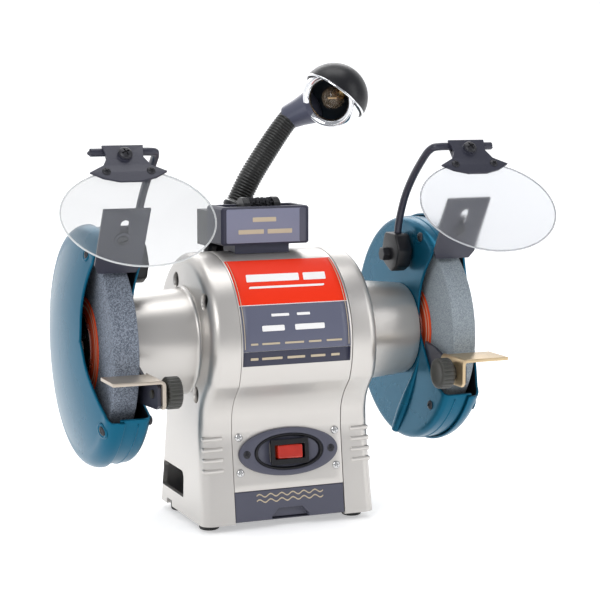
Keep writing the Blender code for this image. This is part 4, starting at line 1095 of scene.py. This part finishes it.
# %% [markdown]
# ## Spark plates
# Above each wheel a slotted plate hangs from a small tab on the guard, held by one screw. The
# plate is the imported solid, which is right already; the tab and the screw are drawn here.
# %% Spark tabs
SPARK_Y, SPARK_Z, SPARK_X, SPARK_TILT, SCREW_DOWN = -0.0800, 0.1070, 0.1340, 30.5, 0.0255
SHANK = [(0, -0.0030), (0.0024, -0.0030), (0.0024, 0.0014), (0, 0.0014)]
for side, name in SIDES:
    c, s = math.cos(math.radians(SPARK_TILT)), math.sin(math.radians(SPARK_TILT))
    spark = ((side * SPARK_X, SPARK_Y, SPARK_Z), (1, 0, 0), (0, s, -c), (0, -c, -s))
    low, high = sorted((side * -0.0076, side * 0.0030))
    slab(f"spark_tab_{name}", rounded(rectangle(low, high, 0.0160, 0.0520), 0.0015, 4), spark,
         -0.0033, -0.0013, SLATE_STEEL, slot="teal_paint")
    slab(f"spark_washer_{name}", oval(0.0062, 0.0062, 2, 48, (0, SCREW_DOWN)), spark, 0.0010,
         0.0016, SLATE_STEEL, 0.0002, slot="bright_steel")
    screw(f"spark_screw_{name}", at(spark, 0, SCREW_DOWN, 0.0016), spark[3], 0.0040, 0.0019,
          DARK_STEEL, "line")
    turned(f"spark_shank_{name}", SHANK, at(spark, 0, SCREW_DOWN, 0), spark[3], STEEL, 24)
print("spark tabs made")

# %% [markdown]
# ## Tool rests
# A rest is one sheet bent at a right angle: a shelf under the work, and a leg beside the wheel
# with a slot for its clamping knob. Its section is an L with a true bend radius, carried
# along the shelf; the leg's own outline and the slot are then cut from it.
# %% Tool rests
REST_SHEET, REST_BEND, REST_TOP = 0.0025, 0.0042, -0.0105
LEG_X, LEG_END, SHELF_X = 0.1156, -0.0315, 0.1540
KNOB_Y, KNOB_Z, SLOT_R = -0.0920, -0.0222, 0.0033
TRIM_BACK = [(-0.0860, LEG_END), (-0.0740, -0.0190), (-0.0710, -0.0155), (-0.060, -0.0155),
             (-0.060, -0.040), (-0.0860, -0.040)]
TRIM_FRONT = [(-0.1070, -0.0285), (-0.1040, LEG_END), (-0.1040, -0.040), (-0.115, -0.040),
              (-0.115, -0.0285)]
CLAMP_KNOB = [(0, 0.1022), (0.0060, 0.1021), (0.0080, 0.1014), (0.0098, 0.1014), (0.0108, 0.1017),
              (0.0114, 0.1024), (0.0116, 0.1032), (0.0116, 0.1102), (0.0113, 0.1112),
              (0.0104, 0.1120), (0.0062, 0.1120), (0.0060, 0.1124), (0.0060, 0.1153),
              (0.0029, 0.1153), (0.0029, 0.1222), (0, 0.1222)]


def rest_section(side):
    """Outline (x, z) of the L: two quarter circles of radius bend and bend - sheet."""
    a = np.linspace(np.pi / 2, np.pi, 9)
    centre = (LEG_X + REST_BEND, REST_TOP - REST_BEND)
    quarter = np.stack([np.cos(a), np.sin(a)], -1)
    section = np.vstack([[(SHELF_X, REST_TOP)], centre + REST_BEND * quarter, [(LEG_X, LEG_END)],
                         [(LEG_X + REST_SHEET, LEG_END)],
                         (centre + (REST_BEND - REST_SHEET) * quarter)[::-1],
                         [(SHELF_X, REST_TOP - REST_SHEET)]])
    return section * (side, 1)


def ribs(angle, radius, height):
    """Grip ribs: the radius falls by d (1 - |sin(11 a)|^0.7), on the barrel only."""
    groove = 0.055 * (1 - np.abs(np.sin(angle * 11)) ** 0.7)
    barrel = (radius > 0.0112) & (height > 0.1018) & (height < 0.1116)
    return 1 - barrel[:, None] * groove


def tool_rest(side, name, metal):
    """The bent sheet with its trimmed leg and slot, and the ribbed knob that clamps it."""
    points, faces = slab_mesh(rounded(rest_section(side), 0.0004, 2), ELEVATION, -0.1070, -0.0710)
    rest = put(f"rest_plate_{name}", points, faces, metal, f"rest_{name}",
               inside=(side * 0.118, -0.09, -0.014), replaces=(f"tool_rest_{name}",))
    turn = np.linspace(-np.pi / 2, np.pi / 2, 11)
    opening = [(-0.0830 + SLOT_R * math.cos(t), KNOB_Z + SLOT_R * math.sin(t)) for t in turn]
    opening += [(-0.0930 - SLOT_R * math.cos(t), KNOB_Z - SLOT_R * math.sin(t)) for t in turn]
    shelf_low, shelf_high = sorted((side * 0.1188, side * 0.160))
    carve(rest, *[box_cutter(shape, PROFILE, side * 0.110, side * 0.130)
                  for shape in (TRIM_BACK, TRIM_FRONT, opening)],
          box_cutter(rectangle(shelf_low, shelf_high, -0.0772, -0.060), PLAN, -0.02, 0.0))
    break_edges(rest, 0.0003, 60)
    turned(f"clamp_knob_{name}", CLAMP_KNOB, (0, KNOB_Y, KNOB_Z), (side, 0, 0), KNOB, 176,
           body=f"knob_{name}", ripple=ribs, sharp=50, replaces=(f"rest_knob_{name}",))


tool_rest(-1, "left", ZINC)
tool_rest(1, "right", YELLOW_ZINC)
print("tool rests and knobs made")

# %% [markdown]
# ## Eye shields
# A bent steel rod swings on each guard and carries a clear oval lens. The rod is a circle
# carried along a smooth route. The lens is a thin slab whose rim is rounded, because a bright
# rim is what shows clear plastic; a pale ring on the rim paints that highlight. One lens is nearly
# clear, and the other is frosted pale as a painted reflection of a soft box.
# %% Arms and lenses
PIVOT, SHIELD_TILT, LENS_X, LENS_DOWN = (-0.0695, 0.1460), math.radians(41), 0.1345, 0.0580
ROD = [(0.1070, -0.0100, 0.0600), (0.1070, -0.0118, 0.0730), (0.1070, -0.0145, 0.0860),
       (0.1070, -0.0240, 0.1050), (0.1070, -0.0380, 0.1215), (0.1073, -0.0555, 0.1370),
       (0.1085, -0.0650, 0.1440), (0.1130, *PIVOT), (LENS_X, *PIVOT), (0.1570, *PIVOT)]
CLAMP = [(-0.0195, 0.0765), (-0.0262, 0.0640), (-0.0220, 0.0515), (-0.0115, 0.0462),
         (0.0025, 0.0530), (0.0058, 0.0610), (0.0000, 0.0770)]
CLAMP_PIVOT = (0, -0.0050, 0.0600)
BOSS = [(0, 0.1128), (0.0066, 0.1128), (0.0070, 0.1136), (0.0070, 0.1152), (0.0066, 0.1159),
        (0, 0.1160)]
BOLT = [(0, -0.0962), (0.0050, -0.0962), (0.0056, -0.0967), (0.0056, -0.1020), (0, -0.1020)]
LENS_SCREWS = (("pivot", 0, 0.0064, 0.0070, 0.0050), ("a", -0.0160, 0.0205, 0.0049, 0.0031),
               ("b", 0.0160, 0.0205, 0.0049, 0.0031))


def lens_rim(name, place, material, body):
    """A thin ring: circles of radius r at the lens's edge, spanning outward and z directions."""
    angle, section = around(160), around(10)
    path = at(place, 0, LENS_DOWN, 0.0018) + np.outer(0.0546 * np.cos(angle), place[1]) \
        + np.outer(0.0406 * np.sin(angle), place[2])
    outward = unit(path - path.mean(0))
    rings = path[:, None] + 0.00065 * (np.cos(section)[:, None] * outward[:, None]
                                       + np.sin(section)[:, None] * np.asarray(place[3]))
    put(name, rings, grid_faces(160, 10, True, True), material, body, inside=path.mean(0),
        sharp=70)


for side, name in SIDES:
    arm, shield, out = f"arm_{name}", f"shield_{name}", (side, 0, 0)
    swept(f"shield_rod_{name}", curve(np.array(ROD) * (side, 1, 1), 10), 0.0029, SLATE_STEEL, 24,
          (0.3, 1.0, -0.4), body=arm, replaces=(f"shield_arm_{name}",))
    c, s = math.cos(SHIELD_TILT), math.sin(SHIELD_TILT)
    place = ((side * LENS_X, *PIVOT), (1, 0, 0), (0, -s, -c), (0, -c, s))
    # the right lens's pale frosting is a painted reflection, and each rim ring a painted highlight
    lens, rim = (LENS_CLEAR, LENS_RIM_HIGHLIGHT) if side < 0 else (LENS_PAINTED_GLARE, LENS_GLARE_RIM)
    slab(f"lens_{name}", oval(0.0550, 0.0410, 2, 128, (0, LENS_DOWN)), place, 0.0006, 0.0030,
         lens, 0.0009, body=shield, replaces=(f"shield_lens_{name}",))
    lens_rim(f"lens_rim_{name}", place, rim, shield)
    for spot, x, y, height, radius in LENS_SCREWS:
        screw(f"lens_screw_{name}_{spot}", at(place, x, y, height), place[3], radius,
              radius * 0.42, DARK_STEEL, body=shield)
    slab(f"clamp_block_{name}", rounded(CLAMP, 0.0028), PROFILE, side * 0.1012, side * 0.1135,
         BLACK, 0.0014, body=arm, slot="slate_steel", replaces=(f"shield_clamp_{name}",))
    turned(f"clamp_boss_{name}", BOSS, CLAMP_PIVOT, out, BLACK, 40, body=arm, slot="slate_steel")
    turned(f"clamp_bolt_{name}", BOLT, CLAMP_PIVOT, (-side, 0, 0), DARK_STEEL, 6, body=arm,
           sharp=25)
print("shields made")

# %% [markdown]
# ## Wheel dressing tool
# A box on top of the body holds the dresser, a stack of hardened star wheels on a pin between
# two cheeks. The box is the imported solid. Its front gets a lighter inset panel whose words are
# replaced by plain bars, and the star wheels are thin discs whose teeth are out of step.
# %% Holder front
front = ((0, -0.0180, 0), (1, 0, 0), UPWARD, (0, -1, 0))
slab("holder_panel", rounded(rectangle(-0.0380, 0.0262, 0.0738, 0.0994), 0.0016), front,
     -0.0002, 0.0004, SLATE_LIGHT, 0.0002)
slab("holder_panel_end", rounded(rectangle(0.0212, 0.0262, 0.0738, 0.0994), 0.0012, 4), front,
     0.0003, 0.0006, SLATE, 0.0001)
for number, (x0, x1, z) in enumerate(((-0.0170, 0.0020, 0.0913), (-0.0285, -0.0080, 0.0822),
                                      (-0.0050, 0.0150, 0.0822))):
    slab(f"holder_bar_{number}", rounded(rectangle(x0, x1, z - 0.0017, z + 0.0017), 0.0006, 3),
         front, 0.0003, 0.0006, CREAM, 0.0001)
print("holder front made")

# %% [markdown]
# ### Star wheels
# Each disc is a ring of six loops whose radius is a saw wave. Seven discs, each turned a
# little further than the last, make the stack look as rough as the real one.
# %% Star wheels
PIN_Y, PIN_Z, PIN_R, TEETH, THICKER = -0.0010, 0.0975, 0.0025, 14, 0.0002


def star_wheel(name, low, high, phase):
    """A toothed disc: r = r0 + h |1 - 2 frac(n a / 2 pi + phase)|^1.4, a saw of pointed teeth."""
    a = around(TEETH * 10)
    saw = np.abs(1 - 2 * ((a * TEETH / (2 * np.pi) + phase) % 1.0))
    r = 0.0073 + 0.0023 * saw ** 1.4
    outer = grid(0.0, PIN_Y + r * np.cos(a), PIN_Z + r * np.sin(a))
    hole = grid(0.0, PIN_Y + PIN_R * np.cos(a), PIN_Z + PIN_R * np.sin(a))
    face = outer * (1, 0.999, 0.9995)
    rings = [loop + (x, 0, 0) for loop, x in (
        (hole, low), (face, low), (outer, low + THICKER), (outer, high - THICKER), (face, high),
        (hole, high))]
    put(name, rings, grid_faces(6, len(a), True, True), DARK_STEEL, "star_wheels",
        inside=(0.5 * (low + high), PIN_Y, PIN_Z), sharp=25, replaces=("dresser_wheels",))


edges = np.linspace(-0.0146, 0.0036, 8)
for number in range(7):
    star_wheel(f"star_disc_{number}", edges[number] + 0.0003, edges[number + 1] - 0.0003,
               0.5 * (number % 2) + 0.13 * number)
print("star wheels made")

# %% [markdown]
# ## Lamp
# The lamp stands on a flexible neck. The neck is one skin of small rings carried along the
# route, across the joint in its middle.
# %% Neck
NECK_DIR, RING_PITCH, RING_DEPTH, BLEND_HALF = np.array((0.464, 0.0, 0.886)), 0.0023, 0.0009, 0.012
ROOT, ELBOW, WRIST = (np.array(p) for p in ((-0.0078, 0.0380, 0.1000), (0.0140, 0.0380, 0.1370),
                                            (0.0380, 0.0410, 0.1670)))
route = curve([ROOT, ROOT + NECK_DIR * 0.021, ELBOW, (0.0283, 0.0395, 0.1560), WRIST], 40)
travelled = np.concatenate([[0], np.cumsum(np.linalg.norm(np.diff(route, axis=0), axis=1))])
length = travelled[-1] - 0.0004
spots = np.linspace(0, length, int(length / RING_PITCH * 8))
neck_path = np.stack([np.interp(spots, travelled, route[:, k]) for k in range(3)], -1)
# Each ring of the skin rises and falls: r - d + d |cos(pi s / pitch)|^0.7, and r falls slowly.
neck_size = 0.0093 - 0.0010 * (spots / travelled[-1]) ** 2 - RING_DEPTH
neck_size += RING_DEPTH * np.abs(np.cos(np.pi * spots / RING_PITCH)) ** 0.7
neck = swept("neck_skin", neck_path, neck_size, HOSE, 48, body=None, sharp=70,
             replaces=("lamp_neck_lower", "lamp_neck_upper"))
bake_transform(neck)
CUFF = [(0.0090, -0.0051), (0.0100, -0.0051), (0.0106, -0.0043), (0.0106, -0.0023),
        (0.0100, -0.0015), (0.0094, -0.0015)]
turned("neck_cuff", CUFF, ROOT, NECK_DIR, BLACK, 64)
print("neck made,", len(neck_path), "rings")

# %% [markdown]
# ### Head
# The head is a chromed ball, open towards the work, with a rolled lip and a reflector painted near
# black for the shade inside it. A cone leads from the neck into it. All are turned, each about its
# own axis.


# %% Head
HEAD, HEAD_R, BOWL_R = np.array((0.0646, 0.0160, 0.1823)), 0.0244, 0.0222
AIM, UP = unit((-0.70, -0.69, -0.21)), unit((0.62, 0.0, 0.78))


def arc_line(radius, first, last, count):
    """(radius sin a, radius cos a): a profile that turns into part of a ball."""
    return [(radius * math.sin(a), radius * math.cos(a)) for a in np.linspace(first, last, count)]


LIP = [(0.0206, 0.0130), (0.0204, 0.0137), (0.0196, 0.0142), (0.0184, 0.0138), (0.0170, 0.0128),
       (0.0159, 0.0112), (0.0156, 0.0096)]
shell_line = arc_line(HEAD_R, math.acos(0.0130 / HEAD_R), math.pi, 40)
turned("lamp_shell", shell_line[::-1] + LIP, HEAD, AIM, CHROME, body="lamp", inside=HEAD,
       sharp=60, replaces=("lamp_head",))
bowl = arc_line(BOWL_R, math.pi, math.acos(0.0040 / BOWL_R), 32)
# the reflector takes the near-black finish: painted shade inside the head
turned("lamp_reflector", bowl + [(0.0158, 0.0098)], HEAD, AIM, INSIDE_SHADE, body="lamp", slot="chrome",
       inside=HEAD + AIM * 0.05, sharp=60)
to_neck = unit(WRIST - HEAD)
cone_start, cone_end = WRIST + to_neck * 0.0008, HEAD + to_neck * 0.0200
cone_long = np.linalg.norm(cone_end - cone_start)
COLLAR_LINE = [(0, -0.0030), (0.0078, -0.0030), (0.0091, -0.0022), (0.0096, -0.0004),
               (0.0098, 0.0016), (0.0108, cone_long * 0.45), (0.0126, cone_long * 0.85),
               (0.0134, cone_long), (0.0110, cone_long + 0.0030), (0, cone_long + 0.0030)]
turned("lamp_collar", COLLAR_LINE, cone_start, cone_end - cone_start, COLLAR, 72, body="lamp")
print("lamp head made")

# %% [markdown]
# ### Bulb
# A glass bulb with a threaded brass cap. The filament is a thin coil swept along a wave.
# %% Bulb
BULB = [(0, 0.0115), (0.0030, 0.0109), (0.0052, 0.0098), (0.0070, 0.0080), (0.0084, 0.0058),
        (0.0092, 0.0020), (0.0089, -0.0006), (0.0080, -0.0030), (0.0068, -0.0056),
        (0.0058, -0.0078), (0.0053, -0.0096)]
turned("bulb_envelope", BULB, HEAD, AIM, GLASS, 56, body="lamp", inside=HEAD,
       replaces=("lamp_bulb",))
CAP = [(0.0050, -0.0092), (0.0056, -0.0096)]
CAP += [(0.0053 + 0.0003 * (k % 2), -0.0102 - 0.0011 * k) for k in range(8)]
CAP += [(0.0048, -0.0192), (0.0022, -0.0205), (0, -0.0208)]
turned("bulb_cap", CAP, HEAD, AIM, BRASS, 40, body="lamp", inside=HEAD - AIM * 0.015)
turn = np.linspace(0, 1, 60)[:, None]
first, second = across(AIM)
coil = (HEAD + AIM * 0.0035 + (turn - 0.5) * 0.0070 * first
        + 0.0006 * np.cos(turn * 50) * second + 0.0006 * np.sin(turn * 50) * AIM)
swept("bulb_filament", coil, 0.00022, FILAMENT, 6, AIM, body="lamp")
print("bulb made")

# %% [markdown]
# ### Hood
# The black hood is half a hollow ball, a little larger than the head, so it can turn on it. A
# thin bright rim closes its edge.
# %% Hood
HOOD_R, HOOD_INNER_R, HOOD_EDGE = 0.0266, 0.0249, math.radians(87.5)
hood_line = arc_line(HOOD_INNER_R, 0, HOOD_EDGE, 24) + arc_line(HOOD_R, HOOD_EDGE, 0, 30)
turned("hood_shell", hood_line, HEAD, UP, BLACK, body="hood", inside=HEAD,
       replaces=("lamp_hood",))
RIM = [(0.02668, 0.0006), (0.02685, 0.0010), (0.02685, 0.0017), (0.02668, 0.0021),
       (0.0260, 0.0021), (0.0260, 0.0006)]
turned("hood_rim", RIM, HEAD, UP, CHROME, body="hood")
print("hood made")

# %% [markdown]
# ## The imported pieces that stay
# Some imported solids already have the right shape. They keep it, and gain a small bevel, so
# that their edges catch the light, and a finish.
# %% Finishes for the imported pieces
KEPT = {
    "base_plate": SLATE_STEEL, "stator_core": LAMINATED, "rotor_core": LAMINATED,
    "bearing_left": STEEL, "bearing_right": STEEL, "run_capacitor": CAN, "switch_body": BLACK,
    "rocker_switch": RED, "coolant_tray": SLATE, "rotor_shaft": STEEL, "tool_holder": HOLDER,
    "dresser_frame": BLACK, "lamp_socket": BLACK,
}
for _, name in SIDES:
    for piece in ("rest_bracket", "spark_plate", "shield_bracket"):
        KEPT[f"{piece}_{name}"] = SLATE_STEEL
EDGE = {"rocker_switch": 0.0011, "coolant_tray": 0.0007, "tool_holder": 0.0007,
        "lamp_socket": 0.0020, "dresser_frame": 0.0010}
for node, material in KEPT.items():
    thing = NODES[node]
    thing.data.materials.clear()
    thing.data.materials.append(material)
    modify(thing, "WELD", merge_threshold=0.00002)
    break_edges(thing, EDGE.get(node, 0.0004), 40, 3)
print("finished", len(KEPT), "packed pieces")

# %% [markdown]
# ## Tray sign
# The tray's front tells what it is for; here two wavy lines stand for water, with no words.
# %% Waves on the tray
u = np.linspace(-0.0270, 0.0270, 120)
for number, rise in enumerate((0.0008, 0.0048)):
    wave = np.stack([u, rise + 0.0011 * np.sin(u * 2 * np.pi / 0.0090)], -1)
    outline = np.vstack([wave + (0, 0.0005), (wave - (0, 0.0005))[::-1]])
    slab(f"tray_wave_{number}", outline, panel_frame(-0.1180), 0.0, 0.0003, CREAM, 0.0001,
         body="tray")
print("tray sign made")

# %% [markdown]
# ## Sizes and the end
# The box round the finished model is printed. The finished model must not outgrow the
# imported one.
# %% Write the sizes and finish
low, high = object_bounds()
print("visual box", low, high)
